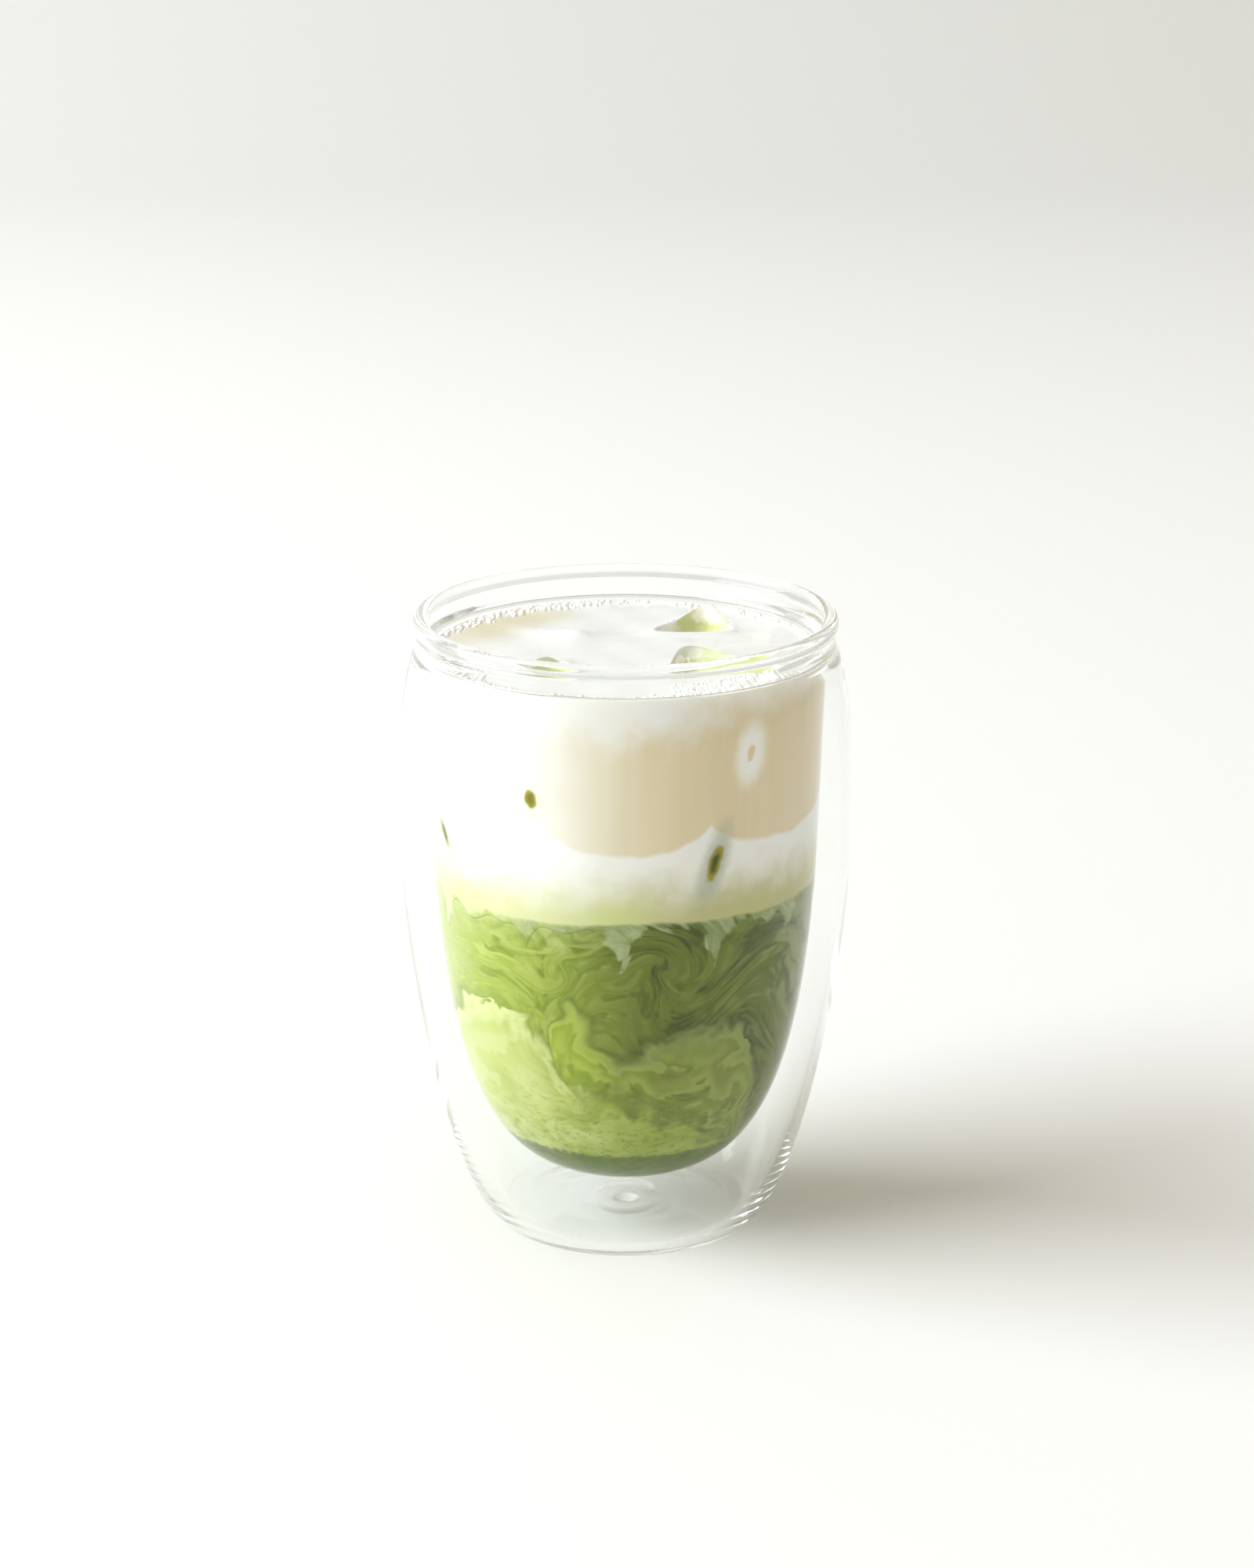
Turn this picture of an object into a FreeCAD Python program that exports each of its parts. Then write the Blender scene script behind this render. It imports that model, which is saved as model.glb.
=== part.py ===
"""Iced matcha latte in a double-walled tumbler, in millimetres, +Z up.

The origin is the middle of the base, on the table. The tumbler is one piece of blown glass: an outer
shell and an inner bowl that are fused in a rounded rim, with a sealed air gap between them. The bowl
holds two layers of drink, milk over matcha, and rounded ice cubes that float in the milk. Some cubes
rise above the milk and some lean on the wall. Milk hangs down into the matcha in short tongues.
"""

import FreeCAD, Part

import math
import os

from FreeCAD import Rotation, Vector

# Rim, a round bead where the two walls meet
GLASS_HEIGHT = 126.0
RIM_RADIUS = 41.9
RIM_BEAD = 3.0
NECK_PINCH = 0.9        # how far the shell is drawn in under the bead
NECK_DROP = 4.4         # from the top of the rim down to the neck
FUSED_DROP = 6.4        # from the top of the rim down to the air gap
LIP_ANGLE = 35.0        # the bead's arc reaches this far below its middle, in degrees

# Outer shell
SHELL_WALL = 1.4
BELLY_BULGE = 2.95      # how far the belly stands out beyond the rim
BELLY_HEIGHT = 76.4
SHOULDER_POWER = 4.4
FOOT_RADIUS = 25.4
FOOT_CORNER = 0.9
FLANK_POWERS = (1.44, 1.72)

# Base of the shell, with the ripples left where the vent was sealed
BASE_THICKNESS = 2.2
FOOT_RING_WIDTH = 2.6
PUNT_DEPTH = 0.7
SEAL_RIPPLE = 0.75
SEAL_RIPPLE_PITCH = 8.6
SEAL_RIPPLE_SPREAD = 10.0

# Inner bowl, measured on the side that faces the air gap
BOWL_WALL = 1.5
BOWL_INSET = 3.17       # from the outside of the rim in to the bowl at its knee
BOWL_TAPER = 0.031      # growth of the radius for each millimetre of height
BOWL_BOTTOM = 11.5
BOWL_FLOOR = 2.0
BOWL_KNEE = 91.8        # height where the rounded bottom passes into the straight wall
BOWL_POWERS = (2.88, 3.51)

# Drink
FREEBOARD = 7.8         # from the milk up to the top of the rim
MENISCUS = 0.8          # height of its edge at the wall
MENISCUS_WIDTH = 1.6
MENISCUS_STEEPENS = 2.8     # its height one width further out, in shares of its height at the wall
LAYER_HEIGHT = 73.8
LAYER_SWELL = 0.45
LAYER_WAVES = (0.11, 0.085)

# Tongues of milk in the matcha: compass angle, reach below the layer and width at the top
TONGUES = [
    (-91, 10.5, 8.0),
    (-62, 11.0, 7.0),
    (-33, 7.5, 6.5),
    (-121, 5.0, 6.0),
    (-158, 8.5, 7.0),
    (8, 9.0, 7.5),
    (52, 6.0, 6.0),
    (97, 10.0, 8.0),
    (139, 7.0, 6.5),
]
TONGUE_TIP = 0.5
TONGUE_ROOT = 2.0       # how far each starts above the layer

# Ice cubes: middle from the axis and the milk's level, edge lengths, and turns in degrees about X, then
# Y, then Z. They are nested for a bowl whose inner radius at the milk is this one, and grow and shrink
# with it.
ICE_NEST_RADIUS = 38.05
ICE_MELT = 4.6          # radius of the melted edges
ICE = {
    "ice_left": ((-13.4, -18.5, -13.2), (23.0, 24.0, 25.0), (-130, -25, -108)),
    "ice_front": ((19.3, -14.4, -10.5), (22.0, 23.0, 24.0), (-11, 54, -128)),
    "ice_back": ((13.5, 18.5, -11.3), (22.0, 23.0, 23.0), (-121, -25, 19)),
    "ice_middle": ((-14.9, 14.9, -12.7), (19.0, 20.0, 21.0), (-95, -54, 68)),
    "ice_low_right": ((11.0, -20.7, -30.2), (18.0, 20.0, 22.0), (-26, 64, -122)),
    "ice_low_left": ((-26.3, -5.1, -31.4), (18.0, 19.0, 20.0), (180, -46, -80)),
}

# Worked out from the sizes above
NECK_HEIGHT = GLASS_HEIGHT - NECK_DROP
NECK_RADIUS = RIM_RADIUS - NECK_PINCH
GAP_TOP = GLASS_HEIGHT - FUSED_DROP
BELLY_RADIUS = RIM_RADIUS + BELLY_BULGE
BOWL_RADIUS = RIM_RADIUS - BOWL_INSET
MILK_LEVEL = GLASS_HEIGHT - FREEBOARD

WALL_POINTS = 22        # points on the curve of a rounded end
SHOULDER_POINTS = 10


def superellipse(share, powers):
    """How far out a rounded end has come, from 0 to 1, at a share of its depth from 0 to 1."""
    into, out = powers
    return max(0.0, 1.0 - share**into) ** (1.0 / out)


def crowded(low, high):
    """Heights from low to high that crowd together near low, where a rounded end turns fastest."""
    return [low + (high - low) * (k / (WALL_POINTS - 1.0)) ** 2 for k in range(WALL_POINTS)]


def even(low, high, count):
    """Evenly spaced values from low to high, without low itself."""
    return [low + (high - low) * k / count for k in range(1, count + 1)]


def bowl_radius(z, inset=0.0, bottom=BOWL_BOTTOM):
    """Radius of the bowl at height z: a slight cone over a superellipse, less an inset."""
    cone = BOWL_RADIUS - inset + BOWL_TAPER * (z - BOWL_KNEE)
    share = max(0.0, BOWL_KNEE - z) / (BOWL_KNEE - bottom)
    return cone * superellipse(share, BOWL_POWERS)


def shell_radius(z, inset=0.0, bottom=0.0):
    """Radius of the outer shell at height z: foot, rounded flank, belly and drawn-in shoulder."""
    foot, belly = FOOT_RADIUS - inset, BELLY_RADIUS - inset
    if z <= BELLY_HEIGHT:
        share = (BELLY_HEIGHT - z) / (BELLY_HEIGHT - bottom)
        return foot + (belly - foot) * superellipse(share, FLANK_POWERS)
    rise = (z - BELLY_HEIGHT) / (NECK_HEIGHT - BELLY_HEIGHT)
    return belly - (BELLY_RADIUS - NECK_RADIUS) * rise**SHOULDER_POWER


def base_top(r):
    """Height of the base's upper face at radius r: flat, with rings that die out from the middle."""
    ring = math.cos(2.0 * math.pi * r / SEAL_RIPPLE_PITCH)
    return BASE_THICKNESS + SEAL_RIPPLE * ring * math.exp(-((r / SEAL_RIPPLE_SPREAD) ** 2))


def smooth(points):
    """One smooth edge through (radius, height) points."""
    curve = Part.BSplineCurve()
    curve.interpolate([Vector(r, 0.0, z) for r, z in points])
    return curve.toShape()


def straight(start, end):
    """A straight edge between two (radius, height) points."""
    return Part.makeLine(Vector(start[0], 0.0, start[1]), Vector(end[0], 0.0, end[1]))


def arc(start, through, end):
    """An arc through three (radius, height) points."""
    a, b, c = (Vector(r, 0.0, z) for r, z in (start, through, end))
    return Part.Arc(a, b, c).toShape()


def turned(edges):
    """The solid that a closed outline of edges sweeps in a full turn about the Z axis."""
    solid = Part.Face(Part.Wire(edges)).revolve(Vector(0, 0, 0), Vector(0, 0, 1), 360)
    return solid if solid.Volume > 0 else solid.reversed()


def flank_points(inset, bottom, top):
    """(radius, height) points up the shell, from its base to height top."""
    heights = crowded(bottom, BELLY_HEIGHT) + even(BELLY_HEIGHT, top, SHOULDER_POINTS)
    return [(shell_radius(z, inset, bottom), z) for z in heights]


def inner_wall():
    """(radius, height) points up the side of the bowl that the drink touches, from the axis."""
    bottom = BOWL_BOTTOM + BOWL_FLOOR
    return [(bowl_radius(z, BOWL_WALL, bottom), z) for z in crowded(bottom, NECK_HEIGHT)]


def glass_body():
    """The tumbler's outside, rim and inside as one outline, with no air gap yet."""
    bead = RIM_BEAD / 2.0
    bead_radius, bead_height = RIM_RADIUS - bead, GLASS_HEIGHT - bead
    lip_reach = bead * math.cos(math.radians(LIP_ANGLE))
    lip_height = bead_height - bead * math.sin(math.radians(LIP_ANGLE))
    outer_lip = (bead_radius + lip_reach, lip_height)
    inner_lip = (bead_radius - lip_reach, lip_height)

    ring_inside = FOOT_RADIUS - FOOT_CORNER - FOOT_RING_WIDTH
    ring_outside = (FOOT_RADIUS - FOOT_CORNER, 0.0)
    shares = [0.0] + even(0.0, 1.0, 8)
    punt = [(ring_inside * share, PUNT_DEPTH * (1.0 - share**4)) for share in shares]

    flank = flank_points(0.0, 0.0, NECK_HEIGHT)
    flank = [point for point in flank if point[1] > FOOT_CORNER]
    rounding = FOOT_CORNER * math.sqrt(0.5)
    corner = (ring_outside[0] + rounding, FOOT_CORNER - rounding)
    inside = inner_wall()
    return turned([
        smooth(punt),
        straight(punt[-1], ring_outside),
        arc(ring_outside, corner, flank[0]),
        smooth(flank),
        straight(flank[-1], outer_lip),
        arc(outer_lip, (bead_radius, GLASS_HEIGHT), inner_lip),
        straight(inner_lip, inside[-1]),
        smooth(inside),
        straight(inside[0], punt[0]),
    ])


def air_gap():
    """The sealed space between the two walls, over the rippled base."""
    edge = FOOT_RADIUS - SHELL_WALL
    floor = [(r, base_top(r)) for r in [0.0] + even(0.0, edge, 40)]
    arch = 0.5 * (BOWL_WALL + SHELL_WALL)
    flank = flank_points(SHELL_WALL, floor[-1][1], GAP_TOP - arch)
    wall = [(bowl_radius(z), z) for z in crowded(BOWL_BOTTOM, GAP_TOP - arch)]
    crown = (0.5 * (flank[-1][0] + wall[-1][0]), GAP_TOP)
    return turned([
        smooth(floor),
        smooth(flank),
        arc(flank[-1], crown, wall[-1]),
        smooth(wall),
        straight(wall[0], floor[0]),
    ])


def bowl_room():
    """The bowl's inside up to the rim, which every layer and cube is cut from."""
    wall = inner_wall()
    side, middle = (wall[-1][0], GLASS_HEIGHT), (0.0, GLASS_HEIGHT)
    return turned([
        smooth(wall),
        straight(wall[-1], side),
        straight(side, middle),
        straight(middle, wall[0]),
    ])


def air_above():
    """All that is over the milk, whose level creeps up the wall in a meniscus."""
    wall = bowl_radius(MILK_LEVEL, BOWL_WALL)
    edge = (wall - MENISCUS_WIDTH, MILK_LEVEL)
    through = (wall, MILK_LEVEL + MENISCUS)
    beyond = (wall + MENISCUS_WIDTH, MILK_LEVEL + MENISCUS_STEEPENS * MENISCUS)
    top = 2.0 * GLASS_HEIGHT
    return turned([
        straight((0.0, MILK_LEVEL), edge),
        arc(edge, through, beyond),
        straight(beyond, (beyond[0], top)),
        straight((beyond[0], top), (0.0, top)),
        straight((0.0, top), (0.0, MILK_LEVEL)),
    ])


def below_layer():
    """A block whose upper face is the gently swelling border between milk and matcha."""
    reach = BELLY_RADIUS + 2.0
    steps = [-reach] + even(-reach, reach, 14)

    def height(x, y):
        return LAYER_HEIGHT + LAYER_SWELL * (
            math.sin(LAYER_WAVES[0] * x + 0.7) + math.cos(LAYER_WAVES[1] * y - 0.4) - 0.6)

    surface = Part.BSplineSurface()
    surface.interpolate([[Vector(x, y, height(x, y)) for y in steps] for x in steps])
    return surface.toShape().extrude(Vector(0, 0, -LAYER_HEIGHT))


def tongue(angle, reach, width):
    """A tapering tongue of milk whose middle follows the wall, so that the wall halves it."""
    def on_wall(z):
        out, turn = bowl_radius(z, BOWL_WALL), math.radians(angle)
        return Vector(out * math.cos(turn), out * math.sin(turn), z)

    tip, root = on_wall(LAYER_HEIGHT - reach), on_wall(LAYER_HEIGHT + TONGUE_ROOT)
    return Part.makeCone(TONGUE_TIP, width / 2.0, (root - tip).Length, tip, root - tip)


def ice_cube(middle, edges, turns):
    """A cube with melted, rounded edges, turned and set down around its middle."""
    grown = bowl_radius(MILK_LEVEL, BOWL_WALL) / ICE_NEST_RADIUS
    sides = [grown * edge for edge in edges]
    block = Part.makeBox(*sides, Vector(*(-0.5 * side for side in sides)))
    block = block.makeFillet(min(ICE_MELT, 0.45 * min(sides)), block.Edges)
    about_x, about_y, about_z = (
        Rotation(axis, turn) for axis, turn in zip((Vector(1, 0, 0), Vector(0, 1, 0), Vector(0, 0, 1)), turns))
    seat = Vector(*(grown * part for part in middle)) + Vector(0, 0, MILK_LEVEL)
    block.Placement = FreeCAD.Placement(seat, about_z * about_y * about_x)
    return block


def main():
    glass = glass_body().cut(air_gap())
    room = bowl_room()
    cubes = {name: ice_cube(*seat).common(room) for name, seat in ICE.items()}

    drink, lower = room.cut(air_above()), below_layer()
    milk, matcha = drink.cut(lower), drink.common(lower)
    tongues = [tongue(*seat).common(drink) for seat in TONGUES]
    ice = list(cubes.values())
    milk = milk.fuse(tongues).cut(ice)
    matcha = matcha.cut(tongues + ice)

    nodes = {"glass": glass, "milk": milk, "matcha": matcha, **cubes}
    os.makedirs("parts", exist_ok=True)
    for name, shape in nodes.items():
        shape.exportStep("parts/%s.step" % name)
        print("%-14s %d solid(s), valid %s, %9.1f mm3" % (
            name, len(shape.Solids), shape.isValid(), shape.Volume))


main()
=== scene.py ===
# %% [markdown]
# # Iced matcha latte in a double-walled tumbler
#
# The drink has two layers, white milk over green matcha, with ice that floats in the milk. The tumbler
# is one piece of clear glass with a sealed air gap between its walls, so the drink seems to hover.
#
# Everything is worked out in millimetres, with +Z up and the origin under the middle of the foot, and
# becomes metres only when a mesh is made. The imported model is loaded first, as the frame that every
# piece has to fit.

import math
from types import SimpleNamespace

import bpy
import numpy as np
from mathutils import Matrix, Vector


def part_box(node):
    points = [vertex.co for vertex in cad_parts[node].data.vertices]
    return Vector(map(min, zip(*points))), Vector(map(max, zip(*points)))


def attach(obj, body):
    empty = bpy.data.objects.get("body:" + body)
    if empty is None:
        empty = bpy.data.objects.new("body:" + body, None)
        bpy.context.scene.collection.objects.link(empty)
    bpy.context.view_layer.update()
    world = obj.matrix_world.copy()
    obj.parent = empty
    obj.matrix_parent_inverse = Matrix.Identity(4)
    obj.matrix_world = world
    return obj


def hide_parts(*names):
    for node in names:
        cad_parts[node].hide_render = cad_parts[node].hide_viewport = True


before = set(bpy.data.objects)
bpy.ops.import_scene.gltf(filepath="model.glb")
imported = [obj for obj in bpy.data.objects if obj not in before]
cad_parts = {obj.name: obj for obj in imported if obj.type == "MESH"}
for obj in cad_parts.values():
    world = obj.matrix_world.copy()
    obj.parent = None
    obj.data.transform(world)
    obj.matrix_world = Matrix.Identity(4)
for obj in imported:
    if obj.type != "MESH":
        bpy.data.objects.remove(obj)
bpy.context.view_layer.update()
MM = 0.001
print("frame:", sorted(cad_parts))

# %% [markdown]
# ## Sizes of the tumbler
#
# A turned glass is known once its outline is. These are the sizes that a glass blower would ask for:
# the rim, the outer shell, the base and the inner bowl. The total height and the belly are read from
# the frame, so the rest can be checked against them.

# %% Sizes of the tumbler
glass_high = np.array(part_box("glass")[1]) / MM
GLASS_HEIGHT = float(glass_high[2])
BELLY_RADIUS = float(glass_high[0])

RIM_RADIUS = BELLY_RADIUS - 2.95
RIM_BEAD = 3.0
NECK_RADIUS = RIM_RADIUS - 0.9
NECK_HEIGHT = GLASS_HEIGHT - 4.4
GAP_TOP = GLASS_HEIGHT - 6.4
BLEND_DROP = 6.0        # the walls start to curve into the bead this far below the top

SHELL_WALL = 1.4
BELLY_HEIGHT = 76.4
SHOULDER_POWER = 4.4
FOOT_RADIUS = 25.4
FLANK_POWERS = (1.44, 1.72)

BASE_THICKNESS = 2.2
FOOT_RING_WIDTH = 3.5
PUNT_DEPTH = 0.7
SEAL_RIPPLE = 0.5
SEAL_RIPPLE_PITCH = 8.6
SEAL_RIPPLE_SPREAD = 10.0

BOWL_WALL = 1.5
BOWL_RADIUS = RIM_RADIUS - 3.17
BOWL_TAPER = 0.031
BOWL_BOTTOM = 11.5
BOWL_FLOOR = 2.0
BOWL_KNEE = 91.8
BOWL_POWERS = (2.88, 3.51)
print(f"tumbler: {GLASS_HEIGHT:.1f} mm tall, {2 * RIM_RADIUS:.1f} mm across the rim")

# %% [markdown]
# ## The two walls as formulas
#
# Both walls end in a rounded bottom. A superellipse describes that in one line: at a share s of the
# depth the wall has come (1 - s^a)^(1/b) of the way out. The bowl adds a slight cone, and the shell
# adds a shoulder that is drawn in towards the neck.

# %% The two walls as formulas
def superellipse(share, powers):
    """How far out a rounded end has come: (1 - share^a)^(1/b), for shares of its depth."""
    into, out = powers
    return np.clip(1.0 - share**into, 0.0, 1.0) ** (1.0 / out)


def bowl_radius(z, inset=0.0, bottom=BOWL_BOTTOM):
    """Radius of the inner bowl: (radius + taper * height above the knee) times a superellipse."""
    z = np.asarray(z, float)
    cone = BOWL_RADIUS - inset + BOWL_TAPER * (z - BOWL_KNEE)
    return cone * superellipse(np.clip(BOWL_KNEE - z, 0.0, None) / (BOWL_KNEE - bottom), BOWL_POWERS)


def shell_radius(z, inset=0.0, bottom=0.0):
    """Radius of the outer shell: a superellipse up to the belly, then a shoulder of rise^power."""
    z = np.asarray(z, float)
    foot, belly = FOOT_RADIUS - inset, BELLY_RADIUS - inset
    share = np.clip((BELLY_HEIGHT - z) / (BELLY_HEIGHT - bottom), 0.0, 1.0)
    rise = np.clip((z - BELLY_HEIGHT) / (NECK_HEIGHT - BELLY_HEIGHT), 0.0, None)
    flank = foot + (belly - foot) * superellipse(share, FLANK_POWERS)
    return flank - (BELLY_RADIUS - NECK_RADIUS) * rise**SHOULDER_POWER


def crowded(low, high, count, power=2.0):
    """Heights from low to high that crowd together near low: low + span * t^power."""
    return low + (high - low) * np.linspace(0.0, 1.0, count) ** power


WALL_BOTTOM = BOWL_BOTTOM + BOWL_FLOOR


def wall_radius(z):
    """Radius of the bowl's inner side, which the drink touches."""
    return bowl_radius(z, BOWL_WALL, WALL_BOTTOM)


print(f"inside of the bowl: {wall_radius(30.0):.1f} mm out low down, {wall_radius(118.0):.1f} mm high up")

# %% [markdown]
# ## From rings to a mesh
#
# Every turned or nearly turned piece here is a stack of rings between two poles. One helper numbers
# the faces of such a stack, and another puts points, faces and attributes into a mesh. Attributes are
# values kept on the points, such as how far a point is from the ice, which a material can read.

# %% From rings to a mesh
TURN = 2.0 * math.pi


def angles(columns):
    """The angle of each column of a ring, starting opposite the front so that the seam is behind."""
    return math.pi / 2.0 + TURN * np.arange(columns) / columns


def rings_from_outline(outline, columns):
    """(rows, columns, 3) points: an outline of (radius, height) turned about the Z axis."""
    radius, height = np.asarray(outline, float).T[:, :, None]
    turn = angles(columns)[None, :]
    return np.stack(np.broadcast_arrays(radius * np.cos(turn), radius * np.sin(turn), height), -1)


def stack_faces(rows, columns, inward=False):
    """Quads between neighbouring rings and a fan of triangles at each of the two poles."""
    here = np.arange(columns)
    there = np.roll(here, -1)
    start = columns * np.arange(rows - 1)[:, None]
    quads = np.stack([start + here, start + there, start + columns + there, start + columns + here], -1)
    last = columns * (rows - 1)
    low, high = np.full(columns, rows * columns), np.full(columns, rows * columns + 1)
    fans = np.concatenate([np.stack([low, there, here], -1),
                           np.stack([high, last + here, last + there], -1)])
    quads = quads.reshape(-1, 4)
    return (quads[:, ::-1], fans[:, ::-1]) if inward else (quads, fans)


def face_list(parts, starts=(0,)):
    """Arrays of quads and triangles as one list of faces, repeated with each start added."""
    starts = np.asarray(starts)[:, None, None]
    return sum(((part + starts).reshape(-1, part.shape[1]).tolist() for part in parts), [])


def stack_points(rings, low_pole, high_pole):
    """All points of a stack as one array: the rings row by row, then the two poles."""
    return np.concatenate([rings.reshape(-1, 3), [low_pole, high_pole]])


def make_piece(name, points, faces):
    """A smooth-shaded object from points in millimetres, with its place in its mesh."""
    mesh = bpy.data.meshes.new(name)
    mesh.from_pydata((np.asarray(points) * MM).tolist(), [], faces)
    mesh.polygons.foreach_set("use_smooth", np.ones(len(mesh.polygons), bool))
    mesh.update()
    piece = bpy.data.objects.new(name, mesh)
    bpy.context.scene.collection.objects.link(piece)
    print(f"{name}: {len(mesh.vertices)} points, {len(mesh.polygons)} faces")
    return piece


# %% [markdown]
# ## The tumbler
#
# Its skin has two parts that never meet: the outside, which runs from the punt under the foot up the
# shell, over the bead and down inside the bowl, and the skin round the sealed air gap. Glass bends
# light at both, so both are modelled, each as one smooth outline. A Hermite curve, which leaves one
# point in a given direction and arrives at the next in another, joins the walls to the round bead.

# %% The tumbler
GLASS_COLUMNS = 182
PUNT_ROWS, RING_ROWS, FLANK_ROWS, SHOULDER_ROWS = 20, 8, 112, 25
BEAD_ROWS, JOIN_ROWS, WALL_ROWS, FLOOR_ROWS, ARCH_ROWS = 34, 10, 64, 46, 18
FLANK_CROWDING = 1.6    # how much the rows crowd together where the shell turns into the foot
BEAD_SWEEP = (-35.0, 215.0)     # the part of the bead's circle that shows, in degrees
ARCH_RISE = 1.45        # height of the round arch in which the air gap ends
POLE_SHARE = 0.02       # the first ring round a pole, as a share of the radius
SLIVER = 0.002          # keeps the lowest ring just off its pole


def hermite(start, leaving, end, arriving, count):
    """Points on a cubic from start to end that leaves and arrives along the two given vectors."""
    t = np.linspace(0.0, 1.0, count + 2)[1:-1, None]
    start, leaving, end, arriving = (np.asarray(v, float) for v in (start, leaving, end, arriving))
    return ((2 * t**3 - 3 * t**2 + 1) * start + (t**3 - 2 * t**2 + t) * leaving
            + (3 * t**2 - 2 * t**3) * end + (t**3 - t**2) * arriving)


def outside_outline():
    """(radius, height) down the outside: punt, foot ring, shell, bead, inner wall, bowl floor."""
    ring_inside = FOOT_RADIUS - FOOT_RING_WIDTH
    share = np.linspace(POLE_SHARE, 1.0, PUNT_ROWS)
    punt = np.stack([ring_inside * share, PUNT_DEPTH * (1.0 - share**4)], -1)
    ring_r = np.linspace(ring_inside, FOOT_RADIUS - 0.2, RING_ROWS)[1:]
    ring = np.stack([ring_r, np.zeros_like(ring_r)], -1)

    blend = GLASS_HEIGHT - BLEND_DROP
    flank_z = np.concatenate([crowded(0.03, BELLY_HEIGHT, FLANK_ROWS, FLANK_CROWDING),
                              np.linspace(BELLY_HEIGHT, blend, SHOULDER_ROWS)[1:]])
    flank = np.stack([shell_radius(flank_z), flank_z], -1)

    bead = RIM_BEAD / 2.0
    sweep = np.radians(np.linspace(*BEAD_SWEEP, BEAD_ROWS))
    arc = np.stack([RIM_RADIUS - bead + bead * np.cos(sweep),
                    GLASS_HEIGHT - bead + bead * np.sin(sweep)], -1)
    into = hermite(flank[-1], 1.6 * (flank[-1] - flank[-2]), arc[0], 8.0 * (arc[1] - arc[0]), JOIN_ROWS)

    wall_z = crowded(WALL_BOTTOM + SLIVER, blend - 0.4, WALL_ROWS)[::-1]
    wall = np.stack([wall_radius(wall_z), wall_z], -1)
    down = hermite(arc[-1], 8.0 * (arc[-1] - arc[-2]), wall[0], 1.2 * (wall[1] - wall[0]), JOIN_ROWS)
    return np.concatenate([punt, ring, flank, into, arc, down, wall])


def base_top(r):
    """Height of the base inside the gap: its thickness plus rings that fade with exp(-(r/spread)^2)."""
    rings = np.cos(TURN * r / SEAL_RIPPLE_PITCH) * np.exp(-((r / SEAL_RIPPLE_SPREAD) ** 2))
    return BASE_THICKNESS + SEAL_RIPPLE * rings


def gap_outline():
    """(radius, height) round the air gap: rippled base, shell, a round arch, and the bowl's outside."""
    edge = FOOT_RADIUS - SHELL_WALL
    floor_r = np.linspace(POLE_SHARE, 1.0, FLOOR_ROWS) * edge
    floor = np.stack([floor_r, base_top(floor_r)], -1)
    arch_foot = GAP_TOP - ARCH_RISE
    flank_z = np.concatenate([crowded(floor[-1, 1] + 0.03, BELLY_HEIGHT, FLANK_ROWS, FLANK_CROWDING),
                              np.linspace(BELLY_HEIGHT, arch_foot, SHOULDER_ROWS)[1:]])
    flank = np.stack([shell_radius(flank_z, SHELL_WALL, floor[-1, 1]), flank_z], -1)
    wall_z = crowded(BOWL_BOTTOM + SLIVER, arch_foot, WALL_ROWS)[::-1]
    wall = np.stack([bowl_radius(wall_z), wall_z], -1)
    middle, reach = 0.5 * (flank[-1, 0] + wall[0, 0]), 0.5 * (flank[-1, 0] - wall[0, 0])
    sweep = np.linspace(0.0, math.pi, ARCH_ROWS)[1:-1]
    arch = np.stack([middle + reach * np.cos(sweep),
                     arch_foot + (GAP_TOP - arch_foot) * np.sin(sweep)], -1)
    return np.concatenate([floor, flank, arch, wall])


def tumbler_mesh():
    """The outside and the gap's skin together: the second faces inwards, into the air."""
    outside = rings_from_outline(outside_outline(), GLASS_COLUMNS)
    gap = rings_from_outline(gap_outline(), GLASS_COLUMNS)
    first = stack_points(outside, (0, 0, PUNT_DEPTH), (0, 0, WALL_BOTTOM))
    second = stack_points(gap, (0, 0, base_top(0.0)), (0, 0, BOWL_BOTTOM))
    faces = face_list(stack_faces(len(outside), GLASS_COLUMNS))
    faces += face_list(stack_faces(len(gap), GLASS_COLUMNS, inward=True), [len(first)])
    return make_piece("tumbler", np.concatenate([first, second]), faces)


tumbler = tumbler_mesh()

# %% [markdown]
# ## The ice
#
# The frame holds each cube as a block with rounded edges. Its flat sides tell which way it is turned:
# the directions that face the most area are the block's own. A melted cube is then the surface
# |x/a|^p + |y/b|^p + |z/c|^p = 1 in those directions, a superellipsoid, with shallow waves melted
# into it. A high power p keeps its edges crisp.

# %% The ice
ICE_POWER = 6.5
ICE_CELLS = 26
ICE_WAVE = 0.022        # depth of the melted waves, as a share of the distance from the middle
ICE_PRESS = 0.05        # how far ice that leans on the wall may press into it
DIRECTION_STEPS = 40.0  # directions that agree to a fortieth count as one
ICE_NAMES = sorted(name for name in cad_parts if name.startswith("ice_"))


def node_triangles(name):
    """Corner points of a frame node's triangles, (count, 3, 3), in millimetres."""
    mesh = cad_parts[name].data
    mesh.calc_loop_triangles()
    points = np.empty(3 * len(mesh.vertices), np.float32)
    corners = np.empty(3 * len(mesh.loop_triangles), np.int32)
    mesh.vertices.foreach_get("co", points)
    mesh.loop_triangles.foreach_get("vertices", corners)
    return points.reshape(-1, 3)[corners.reshape(-1, 3)].astype(float) / MM


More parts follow.
